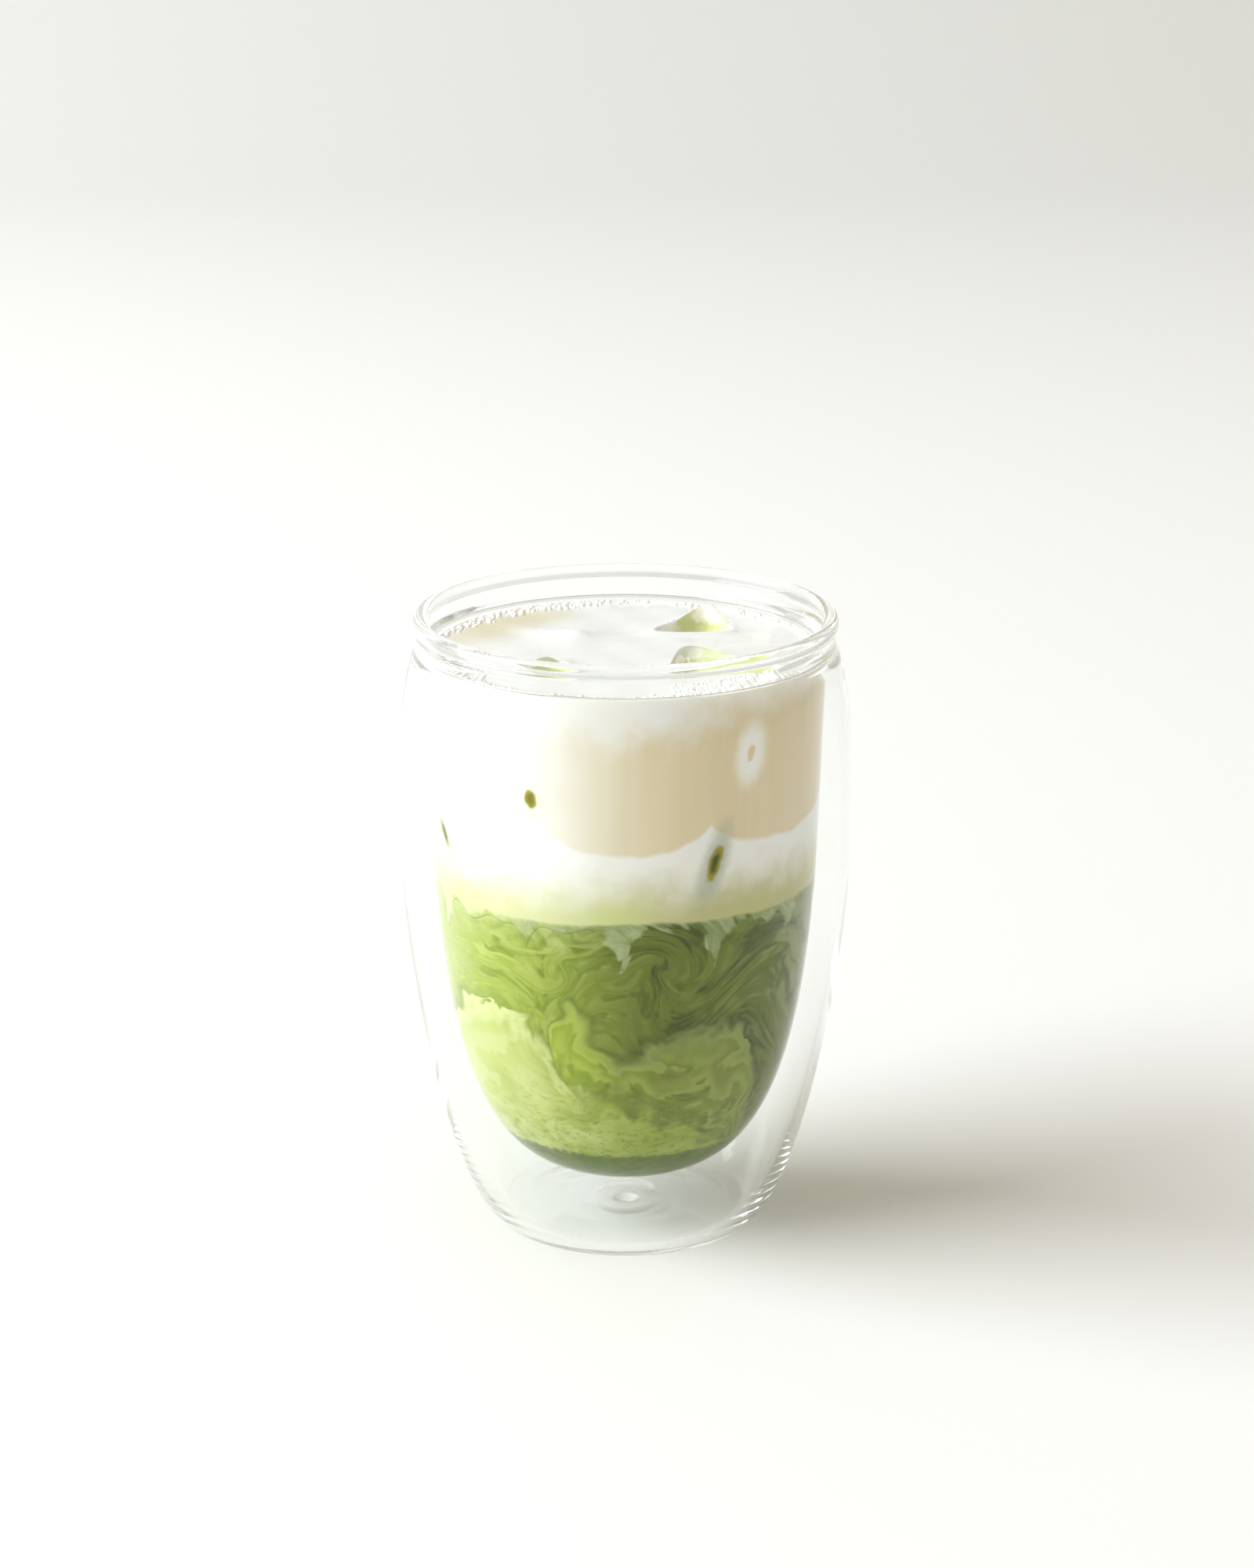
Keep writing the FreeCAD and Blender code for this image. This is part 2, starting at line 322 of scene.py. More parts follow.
def cube_seat(name):
    """(middle, half edges, directions) of a cube, from the directions that most of its area faces.

    The first direction faces the most area, the second is the next one at a right angle to it, and
    the third is at a right angle to both.
    """
    triangles = node_triangles(name)
    normals = np.cross(triangles[:, 1] - triangles[:, 0], triangles[:, 2] - triangles[:, 0])
    area = np.linalg.norm(normals, axis=1)
    normals, area = normals[area > 0] / area[area > 0, None], area[area > 0]
    keys, which = np.unique(np.round(normals * DIRECTION_STEPS), axis=0, return_inverse=True)
    order = np.argsort(-np.bincount(which.ravel(), area))
    keys = keys[order] / np.linalg.norm(keys[order], axis=1)[:, None]
    first = keys[0]
    second = keys[np.argmax(np.abs(keys @ first) < 0.1)]
    third = np.cross(first, second)
    directions = np.stack([first, np.cross(third, first), third])
    directions /= np.linalg.norm(directions, axis=1)[:, None]
    along = triangles.reshape(-1, 3) @ directions.T
    low, high = along.min(0), along.max(0)
    return (0.5 * (low + high)) @ directions, 0.5 * (high - low), directions


SEATS = {name: cube_seat(name) for name in ICE_NAMES}


def cube_lattice(cells):
    """Unit directions and quads of a cube whose six sides are grids, with shared edges merged."""
    u, v = np.meshgrid(np.arange(cells + 1), np.arange(cells + 1), indexing="ij")
    sides, faces = [], []
    for axis in range(3):
        for level in (0, cells):
            side = np.zeros((cells + 1, cells + 1, 3), int)
            side[..., axis] = level
            side[..., (axis + 1) % 3], side[..., (axis + 2) % 3] = u, v
            index = np.arange((cells + 1) ** 2).reshape(cells + 1, -1) + len(sides) * (cells + 1) ** 2
            quad = np.stack([index[:-1, :-1], index[1:, :-1], index[1:, 1:], index[:-1, 1:]], -1)
            faces.append((quad if level else quad[..., ::-1]).reshape(-1, 4))
            sides.append(side.reshape(-1, 3))
    points, same = np.unique(np.concatenate(sides), axis=0, return_inverse=True)
    # The tangent spreads the lattice evenly over the directions.
    points = np.tan((points / cells * 2.0 - 1.0) * math.pi / 4.0)
    return points / np.linalg.norm(points, axis=1)[:, None], same.ravel()[np.concatenate(faces)]


def waves(directions, seed, count=9):
    """Smooth waves between about -1 and 1: a mean of sines along random directions."""
    rng = np.random.default_rng(seed)
    along = rng.normal(size=(count, 3)) * rng.uniform(1.5, 4.5, (count, 1))
    return np.sin(directions @ along.T + rng.uniform(0, TURN, count)).mean(1) * 2.0


def ice_level(points, name):
    """f of a cube at some points: under 1 inside it, 1 on its surface and over 1 outside."""
    middle, half, directions = SEATS[name]
    local = (points - middle) @ directions.T
    return (np.abs(local / half) ** ICE_POWER).sum(-1) ** (1.0 / ICE_POWER)


def melted_cube(name, seed):
    """Points and faces of one melted cube: each direction's distance to f = 1, less its waves."""
    middle, half, directions = SEATS[name]
    ways, faces = cube_lattice(ICE_CELLS)
    reach = 1.0 / (np.abs(ways / half) ** ICE_POWER).sum(1) ** (1.0 / ICE_POWER)
    reach *= 1.0 - ICE_WAVE * (1.0 + waves(ways, seed))
    points = middle + (ways * reach[:, None]) @ directions
    # A cube that leans on the glass stays inside the wall.
    radius = np.hypot(points[:, 0], points[:, 1])
    most = wall_radius(np.minimum(points[:, 2], GLASS_HEIGHT)) + ICE_PRESS
    points[:, :2] *= np.minimum(1.0, most / radius)[:, None]
    return points, faces


ice_pieces = {}
for seed, name in enumerate(ICE_NAMES):
    ice_pieces[name] = make_piece(name.replace("ice_", "cube_"), *melted_cube(name, seed))

# %% [markdown]
# ## Where the ice touches the glass
#
# Milk hides most of each cube, but where a corner rests on the wall nothing is between the ice and the
# glass, and it shows as a small dark window. The frame tells where: at the points of the cube that
# come nearest to the wall.

# %% Where the ice touches the glass
def touch(name):
    """(azimuth in radians, height, distance) of the spot where a cube comes nearest to the wall."""
    points = node_triangles(name).reshape(-1, 3)
    gap = wall_radius(np.minimum(points[:, 2], GLASS_HEIGHT)) - np.hypot(points[:, 0], points[:, 1])
    near = points[gap < gap.min() + 0.02].mean(0)
    return math.atan2(near[1], near[0]), near[2], gap.min()


for name in ICE_NAMES:
    azimuth, height, gap = touch(name)
    print(f"{name}: {math.degrees(azimuth):.0f} degrees, {height:.1f} mm up, {gap:.2f} mm off the wall")

# %% [markdown]
# ## The layers of the drink
#
# Milk and matcha share one border, a gently swelling surface that dips into tongues along the wall.
# Both pieces and their colours are worked out from it. The drink reaches a little way into the glass,
# because any film of air between the two would show as a silver skin.

# %% The layers of the drink
MENISCUS = 0.8          # how far the milk creeps up the wall
MENISCUS_WIDTH = 0.7
MILK_LEVEL = float(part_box("milk")[1][2]) / MM - MENISCUS
LAYER_HEIGHT = 73.8
LAYER_SWELL = 0.45
LAYER_WAVES = (0.11, 0.085)
WALL_REACH = 0.08       # how far the milk reaches into the glass
WALL_ARC = 36.5         # radius that turns an angle into a distance along the wall

# Compass angle, reach below the layer and width of each tongue
TONGUES = [
    (-91, 10.5, 8.0),
    (-62, 11.0, 7.0),
    (-33, 7.5, 6.5),
    (-121, 5.0, 6.0),
    (-158, 8.5, 7.0),
    (8, 9.0, 7.5),
    (52, 6.0, 6.0),
    (97, 10.0, 8.0),
    (139, 7.0, 6.5),
]


def layer_height(x, y):
    """Height of the border between the layers: two slow waves, one along X and one along Y."""
    return LAYER_HEIGHT + LAYER_SWELL * (
        np.sin(LAYER_WAVES[0] * x + 0.7) + np.cos(LAYER_WAVES[1] * y - 0.4) - 0.6)


def arc_between(azimuth, centre, radius=WALL_ARC):
    """Distance along the wall from a centre's angle, in millimetres, the short way round."""
    return radius * ((azimuth - centre + math.pi) % TURN - math.pi)


def fringe(azimuth):
    """How far the milk hangs below the layer at the wall: pointed tongues and small uneven drips."""
    drips = np.abs(np.sin(11.0 * azimuth + 0.6)) * np.abs(np.sin(3.5 * azimuth + 1.0))
    hang = 0.3 + 2.2 * drips**1.5
    for angle, reach, width in TONGUES:
        side = np.abs(arc_between(azimuth, math.radians(angle))) / (0.62 * width)
        hang = np.maximum(hang, reach * np.clip(1.0 - side**0.75, 0.0, None) ** 1.25)
    return hang


print(f"milk level {MILK_LEVEL:.1f} mm, layer {LAYER_HEIGHT:.1f} mm")

# %% [markdown]
# ## The milk's surface
#
# Milk is not flat where something breaks it. It creeps up the glass and up the ice, it mounds over the
# cube that floats just under it, and it keeps faint ripples from the pour. Inside a cube that rises
# above it the surface dips, so that one looks into clear ice with milk behind it, and no film of air
# is left between the two.

# %% The milk's surface
CREEP = 0.7             # height of the milk's edge on the ice
CREEP_WIDTH = 0.9
DIP = 5.5               # depth of the dip inside a cube
DIP_WIDTH = 6.5
DIP_POWER = 0.8
MOUND = 0.9             # height of the mound over the cube just under the milk
MOUND_WIDTH = 3.6
MOUND_OFFSET = (5.4, -5.1)


def ice_distance(points, name):
    """Roughly how far points are outside a cube: their distance from its middle times 1 - 1/f."""
    middle = SEATS[name][0]
    f = np.maximum(ice_level(points, name), 1e-6)
    return np.linalg.norm(points - middle, axis=-1) * (1.0 - 1.0 / f)


def nearest_ice(points):
    """Distance to the nearest cube, below zero inside one."""
    return np.min([ice_distance(points, name) for name in ICE_NAMES], axis=0)


def milk_surface(x, y):
    """Height of the milk: its level, the creep up the ice, the dips in it, a mound and ripples."""
    nearest = nearest_ice(np.stack([x, y, np.full_like(x, MILK_LEVEL)], -1))
    up_ice = CREEP * np.exp(-np.maximum(nearest, 0.0) / CREEP_WIDTH)
    inside = np.clip((-nearest - 0.3) / DIP_WIDTH, 0.0, 1.0)
    up_ice = np.where(nearest < 0.0, CREEP, up_ice) - DIP * inside**DIP_POWER
    mound_x, mound_y = SEATS["ice_middle"][0][:2] + MOUND_OFFSET
    mound = MOUND * np.exp(-((x - mound_x) ** 2 + (y - mound_y) ** 2) / (2.0 * MOUND_WIDTH**2))
    ripples = 0.05 * np.sin(0.5 * x + 0.3 * y) + 0.04 * np.sin(0.33 * x - 0.62 * y + 1.0)
    return MILK_LEVEL + up_ice + mound + ripples


def meniscus(off_wall):
    """How high the milk stands a distance off the wall: it falls off as exp(-distance / width)."""
    return MENISCUS * np.exp(-off_wall / MENISCUS_WIDTH)


# %% [markdown]
# ## Milk and matcha as pieces
#
# Each is a stack of rings: in along the border, up the wall, and in again along the top. Both follow
# the same border and the same wall, so that the two fit each other and the glass without a gap.

# %% Milk and matcha as pieces
DRINK_COLUMNS = 256


def turned_out(radius, height, azimuth):
    """Ring points from (rows, 1) or (rows, columns) radii and heights."""
    return np.stack(np.broadcast_arrays(radius * np.cos(azimuth), radius * np.sin(azimuth), height), -1)


def border_rings(reach, lift, rows=16):
    """Rings in the border between the layers, from near the axis out to the wall."""
    azimuth = angles(DRINK_COLUMNS)[None, :]
    radius = (wall_radius(LAYER_HEIGHT) + reach) * np.linspace(0.03, 0.985, rows)[:, None]
    x, y = radius * np.cos(azimuth), radius * np.sin(azimuth)
    return turned_out(radius, layer_height(x, y) + lift, azimuth)


def wall_rings(bottom, top, reach, rows, power=1.0):
    """Rings up the wall from a bottom to a top height, each given for every column."""
    azimuth = angles(DRINK_COLUMNS)[None, :]
    share = np.linspace(0.0, 1.0, rows)[:, None] ** power
    height = bottom + (top - bottom) * share
    return turned_out(wall_radius(height) + reach, height, azimuth)


def edge_height():
    """Lowest milk at the wall in each column: the layer's height there less the fringe."""
    azimuth = angles(DRINK_COLUMNS)
    radius = wall_radius(LAYER_HEIGHT)
    return layer_height(radius * np.cos(azimuth), radius * np.sin(azimuth)) - fringe(azimuth)


print(f"lowest tip of a tongue: {edge_height().min():.1f} mm up")

# %% [markdown]
# ## Where the colours change
#
# The two liquids are not one colour each. Pale clouds of milk rise in the matcha, a painted tan shade lies
# on the milk's side away from the window, with a scalloped lower edge where ice stands close behind it,
# and a green blush shows above the layer. Each is a curve round the glass, given by a few named lobes or
# arcs. How far each point lies from these curves is stored with the point, and the materials read it.

# %% Where the colours change
# The lobes of the two pale clouds in the matcha: compass angle and height of each top, how far the
# lobe reaches to either side in degrees, and the power that rounds it
CLOUD_FOOT = 23.0
NEAR_CLOUD = [(-134, 54, 60, 32, 2.2), (-122, 43, 10, 75, 1.0), (35, 53, 50, 35, 2.0),
              (175, 45, 40, 60, 2.0)]
FAR_CLOUD = [(-108, 56, 12, 26, 1.8), (-56, 51, 75, 22, 2.0), (22, 53, 35, 30, 2.0),
             (60, 56, 25, 25, 1.5), (110, 53, 25, 40, 2.0), (165, 56, 30, 35, 1.8)]
# Start, end and depth of the scallops in which the painted tan shade of the milk ends
SCALLOPS = [(-114.5, -65, 5.8), (-65, -8, 5.6), (-8, 42, 4.6), (42, 98, 6.0), (98, 150, 5.0),
            (150, 245.5, 5.5)]
SCALLOP_TOP = 93.4
# Where the painted tan shade begins, over how many degrees it grows, and the same for its end
PAINTED_TAN_START, PAINTED_TAN_GROWTH, PAINTED_TAN_END, PAINTED_TAN_FADE = -134.0, 54.0, 175.0, 30.0
# The tan crescent on the milk's surface: compass angle, half width, inner and outer radius
CRESCENT_AT, CRESCENT_SPREAD, CRESCENT_INSIDE, CRESCENT_OUTSIDE = 140.0, 30.0, 22.5, 36.6
# Compass angle, half width in millimetres and strength of the green blush above the layer
BLUSHES = [(-92, 7.0, 1.0), (-45, 9.0, 0.4), (-15, 6.0, 0.6), (30, 8.0, 0.9), (95, 9.0, 0.8),
           (150, 8.0, 0.9), (-150, 6.0, 0.5)]


def cloud_edge(azimuth, lobes):
    """Height of a cloud's edge: the highest lobe there, each foot + rise * (1 - |t|^power)."""
    height = np.full_like(azimuth, CLOUD_FOOT)
    for angle, top, left, right, power in lobes:
        turn = np.degrees(arc_between(azimuth, math.radians(angle), 1.0))
        t = np.where(turn < 0.0, -turn / left, turn / right)
        lobe = (top - CLOUD_FOOT) * (1.0 - np.minimum(t, 1.0) ** power)
        height = np.maximum(height, CLOUD_FOOT + lobe)
    return height


def scallop_height(azimuth):
    """Lower edge of the painted tan shade: hanging arcs, top - depth * (1 - |t|^2.2)^0.6, that meet in
    cusps.
    """
    begin = SCALLOPS[0][0]
    turn = (np.degrees(azimuth) - begin) % 360.0 + begin
    height = np.full_like(turn, SCALLOP_TOP)
    for start, end, depth in SCALLOPS:
        t = np.abs(2.0 * (turn - start) / (end - start) - 1.0)
        height = np.minimum(height, SCALLOP_TOP - depth * np.clip(1.0 - t**2.2, 0.0, None) ** 0.6)
    return height


print(f"{len(NEAR_CLOUD) + len(FAR_CLOUD)} cloud lobes, {len(SCALLOPS)} scallops, {len(BLUSHES)} blushes")

# %% [markdown]
# ## Stirring
#
# Poured matcha keeps the eddies of the pour. To paint them, each point of the wall is traced back
# through a field of small whirls to the place its liquid came from, and the pattern is read there. A
# plain cloud pattern read that way comes out folded and drawn into wisps, just as in the cup.

# %% Stirring
WHIRL_STEPS = 14
WHIRL_COUNT = 54
WHIRL_HEIGHTS, WHIRL_SIZES = (16.0, 72.0), (1.6, 3.6)
# Compass angle, height, size in millimetres and turn in radians of the large whirls
LARGE_WHIRLS = [
    (-128, 50.0, 7.0, -1.5),
    (-104, 46.0, 6.0, 1.6),
    (-78, 60.0, 9.0, -1.3),
    (-58, 44.0, 8.0, 1.4),
    (-30, 56.0, 9.0, -1.3),
    (15, 50.0, 9.0, 1.5),
    (60, 58.0, 8.0, -1.5),
    (105, 48.0, 9.0, 1.4),
    (150, 56.0, 8.0, -1.5),
]


def small_whirls():
    """(arc position, height, size, turn) of many small whirls, strewn evenly."""
    rng = np.random.default_rng(21)
    return np.stack([rng.uniform(-math.pi, math.pi, WHIRL_COUNT) * WALL_ARC,
                     rng.uniform(*WHIRL_HEIGHTS, WHIRL_COUNT),
                     rng.uniform(*WHIRL_SIZES, WHIRL_COUNT),
                     rng.choice([-1.0, 1.0], WHIRL_COUNT) * rng.uniform(0.8, 2.2, WHIRL_COUNT)], -1)


def whirls():
    """The large whirls and the small ones."""
    large = [(WALL_ARC * math.radians(a), z, size, turn) for a, z, size, turn in LARGE_WHIRLS]
    return np.concatenate([large, small_whirls()])


def stirred(points, eddies):
    """Where the liquid at these points was before it was stirred, traced back whirl by whirl.

    Each whirl turns what is near it about its middle, by an angle that falls off as
    exp(-distance^2 / (2 * size^2)). Near the border with the milk the liquid is calm.
    """
    x, y, z = points.T
    arc, height = WALL_ARC * np.arctan2(y, x), z.copy()
    calm = np.clip((LAYER_HEIGHT + 2.0 - z) / 5.0, 0.0, 1.0)
    for _ in range(WHIRL_STEPS):
        for at, level, size, turn in eddies:
            across = (arc - at + math.pi * WALL_ARC) % (TURN * WALL_ARC) - math.pi * WALL_ARC
            up = height - level
            rate = calm * turn / WHIRL_STEPS * np.exp(-(across**2 + up**2) / (2.0 * size**2))
            arc, height = arc + rate * up, height - rate * across
    radius = np.hypot(x, y)
    return np.stack([radius * np.cos(arc / WALL_ARC), radius * np.sin(arc / WALL_ARC), height], -1)


print(f"{len(LARGE_WHIRLS)} large whirls and {WHIRL_COUNT} small ones, in {WHIRL_STEPS} steps")

# %% [markdown]
# ## Making the two liquids
#
# The matcha fills the bottom of the bowl and ends in the border. The milk lies on it, hangs past it
# along the wall as the fringe, and ends in its surface. Behind the fringe the two overlap by a hair,
# which nobody sees, because milk is opaque.

# %% Making the two liquids
MATCHA_REACH = 0.6 * WALL_REACH     # a little less than the milk's, so that the fringe lies in front
MATCHA_ROWS, MATCHA_CROWDING, MILK_ROWS = 200, 1.35, 120
OVERLAP = 0.3           # how far the milk reaches below the border
FRINGE_THICKNESS = 0.5


def matcha_mesh():
    """Up the wall from the bottom of the bowl, past the fringe, and in along the border."""
    azimuth = angles(DRINK_COLUMNS)[None, :]
    top = layer_height(*(wall_radius(LAYER_HEIGHT) * f(azimuth) for f in (np.cos, np.sin)))
    wall = wall_rings(WALL_BOTTOM + SLIVER, top, MATCHA_REACH, MATCHA_ROWS, power=MATCHA_CROWDING)
    rings = np.concatenate([wall, border_rings(MATCHA_REACH, 0.0)[::-1]])
    low = (0.0, 0.0, WALL_BOTTOM - WALL_REACH)
    high = (0.0, 0.0, float(layer_height(0.0, 0.0)))
    faces = face_list(stack_faces(len(rings), DRINK_COLUMNS))
    return make_piece("matcha_layer", stack_points(rings, low, high), faces)


def milk_mesh():
    """Out along the border, down into the fringe, up the wall and in over the surface."""
    azimuth = angles(DRINK_COLUMNS)[None, :]
    border = border_rings(WALL_REACH, -OVERLAP)
    low, edge = edge_height()[None, :], float(wall_radius(MILK_LEVEL))
    lip = turned_out(wall_radius(low) - FRINGE_THICKNESS, low, azimuth)
    wall = wall_rings(low, MILK_LEVEL + MENISCUS + np.zeros_like(low), WALL_REACH, MILK_ROWS)
    # Rows in from the wall, close together in the meniscus and then evenly spaced to the middle
    off = np.concatenate([np.linspace(0.15, 2.5, 8), np.linspace(3.2, edge - 0.6, 62)])[:, None]
    radius = edge - off
    x, y = radius * np.cos(azimuth), radius * np.sin(azimuth)
    top = turned_out(radius, milk_surface(x, y) + meniscus(off), azimuth)
    rings = np.concatenate([border, lip, wall, top])
    poles = (0.0, 0.0, float(layer_height(0.0, 0.0)) - OVERLAP), (0.0, 0.0, MILK_LEVEL)
    faces = face_list(stack_faces(len(rings), DRINK_COLUMNS))
    return make_piece("milk_layer", stack_points(rings, *poles), faces)


matcha_layer = matcha_mesh()
milk_layer = milk_mesh()

# %% [markdown]
# ## What each point knows
#
# A material sees one point at a time. What it can't work out from there, such as how far the point is
# from the border or from the nearest ice, is worked out here once and stored in the mesh. That also
# keeps the pattern where it is when the piece moves or is exported.

# %% What each point knows
def drink_attributes(points):
    """What the colours need to know of each point, in millimetres or as shares of 0 to 1."""
    x, y, z = points.T
    azimuth, radius = np.arctan2(y, x), np.hypot(x, y)
    layer = layer_height(x, y)
    came_from, nearby = stirred(points, whirls()), stirred(points, small_whirls())
    cloud_turn = np.arctan2(nearby[:, 1], nearby[:, 0])
    swayed = azimuth + 0.018 * np.sin(0.9 * z + 3.0 * azimuth)
    turn = (np.degrees(azimuth) + 180.0) % 360.0 - 180.0
    # Painted shade: the tan is strongest on the sides away from the window, growing from the front left
    # and fading again behind
    painted_shade_side = np.clip((turn - PAINTED_TAN_START) / PAINTED_TAN_GROWTH, 0.0, 1.0)
    painted_shade_side *= np.clip((PAINTED_TAN_END - turn) / PAINTED_TAN_FADE, 0.0, 1.0)
    blush = sum(strength * np.exp(-((arc_between(azimuth, math.radians(at)) / width) ** 2))
                for at, width, strength in BLUSHES)
    crescent = np.exp(-(((turn - CRESCENT_AT) / CRESCENT_SPREAD) ** 4)) * (z > MILK_LEVEL - 1.0)
    crescent *= np.clip((radius - CRESCENT_INSIDE) / 7.0, 0.0, 1.0)
    crescent *= np.clip((CRESCENT_OUTSIDE - radius) / 1.4, 0.0, 1.0)
    into_ice = -nearest_ice(np.stack([x, y, np.full_like(x, MILK_LEVEL)], -1))
    off_wall = wall_radius(np.minimum(z, GLASS_HEIGHT)) - radius
    return {
        "above": z - layer,
        "over_edge": z - layer + fringe(swayed),
        "near_cloud": nearby[:, 2] - cloud_edge(cloud_turn, NEAR_CLOUD),
        "far_cloud": nearby[:, 2] - cloud_edge(cloud_turn, FAR_CLOUD),
        "stirred": came_from * MM,
        # Height above the scalloped lower edge of the painted tan shade
        "tan": z - scallop_height(azimuth),
        "painted_shade_side": painted_shade_side * painted_shade_side * (3.0 - 2.0 * painted_shade_side),
        "blush": np.clip(blush, 0.0, 1.0),
        "crescent": crescent,
        "in_ice": np.clip(into_ice / DIP_WIDTH, 0.0, 1.0) * (z > MILK_LEVEL - DIP - 1.0),
        "open_surface": ((z > MILK_LEVEL - 0.6) & (off_wall > 0.1)).astype(float),
    }


def keep_attributes(piece):
    """Works out the drink's attributes at a piece's points and stores them in its mesh."""
    mesh = piece.data
    points = np.empty(3 * len(mesh.vertices), np.float32)
    mesh.vertices.foreach_get("co", points)
    known = drink_attributes(points.reshape(-1, 3).astype(float) / MM)
    for key, values in known.items():
        kind, field = ("FLOAT", "value") if values.ndim == 1 else ("FLOAT_VECTOR", "vector")
        mesh.attributes.new(key, kind, "POINT").data.foreach_set(field, values.astype(np.float32).ravel())
    print(f"{piece.name}: {len(known)} values on each of {len(mesh.vertices)} points")


keep_attributes(milk_layer)
keep_attributes(matcha_layer)

# %% [markdown]
# ## Foam
#
# Small bubbles stay where milk meets glass or ice. All of them are one mesh: a list of middles and
# sizes, and one small ball that is set down at each.

# %% Foam
BALL_ROWS, BALL_COLUMNS = 7, 10
# Compass angle, spread in degrees, distance off the wall, its spread, count and largest radius
FOAM_PATCHES = [
    (-90, 180, 0.3, 0.6, 260, 0.8),
    (-60, 15, 2.6, 1.6, 420, 0.5),
    (-42, 42, 0.3, 0.7, 300, 0.95),
    (128, 30, 0.5, 1.0, 240, 0.9),
    (58, 10, 11.0, 2.5, 60, 0.5),
    (-145, 14, 0.4, 0.8, 60, 0.75),
]


def foam_seeds():
    """(x, y, z, radius) of every bubble, scattered patch by patch and kept clear of the ice."""
    rng = np.random.default_rng(5)
    edge, seeds = float(wall_radius(MILK_LEVEL)), []
    for angle, spread, off, scatter, count, size in FOAM_PATCHES:
        turn = np.radians(angle + spread * rng.uniform(-1, 1, count))
        away = off + scatter * np.abs(rng.normal(size=count))
        radius = size * rng.uniform(0.35, 1.0, count) ** 1.5
        out = edge - np.maximum(away, 0.9 * radius)
        x, y = out * np.cos(turn), out * np.sin(turn)
        z = milk_surface(x, y) + meniscus(edge - out) - 0.25 * radius
        seeds.append(np.stack([x, y, z, radius], -1))
    seeds = np.concatenate(seeds)
    clear = nearest_ice(seeds[:, :3]) > -0.2
    return seeds[clear]


def foam_mesh():
    """A ball at every seed: rows of (sin a cos b, sin a sin b, cos a), with both poles closed."""
    seeds = foam_seeds()
    tilt = np.pi * np.arange(1, BALL_ROWS)[::-1, None] / BALL_ROWS
    turn = TURN * np.arange(BALL_COLUMNS)[None, :] / BALL_COLUMNS
    ball = np.stack(np.broadcast_arrays(np.sin(tilt) * np.cos(turn), np.sin(tilt) * np.sin(turn),
                                        np.cos(tilt)), -1)
    ball = stack_points(ball, (0, 0, -1), (0, 0, 1))
    points = seeds[:, None, :3] + seeds[:, None, 3:] * ball[None]
    faces = face_list(stack_faces(BALL_ROWS - 1, BALL_COLUMNS), len(ball) * np.arange(len(seeds)))
    return make_piece("foam", points.reshape(-1, 3), faces)


foam = foam_mesh()

# %% [markdown]
# ## Writing materials as arithmetic
#
# A material is a graph of nodes. The two small classes below let it be written as a formula: a Term is
# a value in the graph, and arithmetic on Terms adds the nodes for it.

# %% Writing materials as arithmetic
class Term:
    """A value in a material's graph. Arithmetic on it adds Math nodes."""

    def __init__(self, recipe, socket):
        self.recipe, self.socket = recipe, socket

    def __add__(self, other):
        return self.recipe.math("ADD", self, other)

    def __sub__(self, other):
        return self.recipe.math("SUBTRACT", self, other)

    def __rsub__(self, other):
        return self.recipe.math("SUBTRACT", other, self)

    def __mul__(self, other):
        return self.recipe.math("MULTIPLY", self, other)

    def __truediv__(self, other):
        return self.recipe.math("DIVIDE", self, other)

    def __rtruediv__(self, other):
        return self.recipe.math("DIVIDE", other, self)

    __radd__, __rmul__ = __add__, __mul__


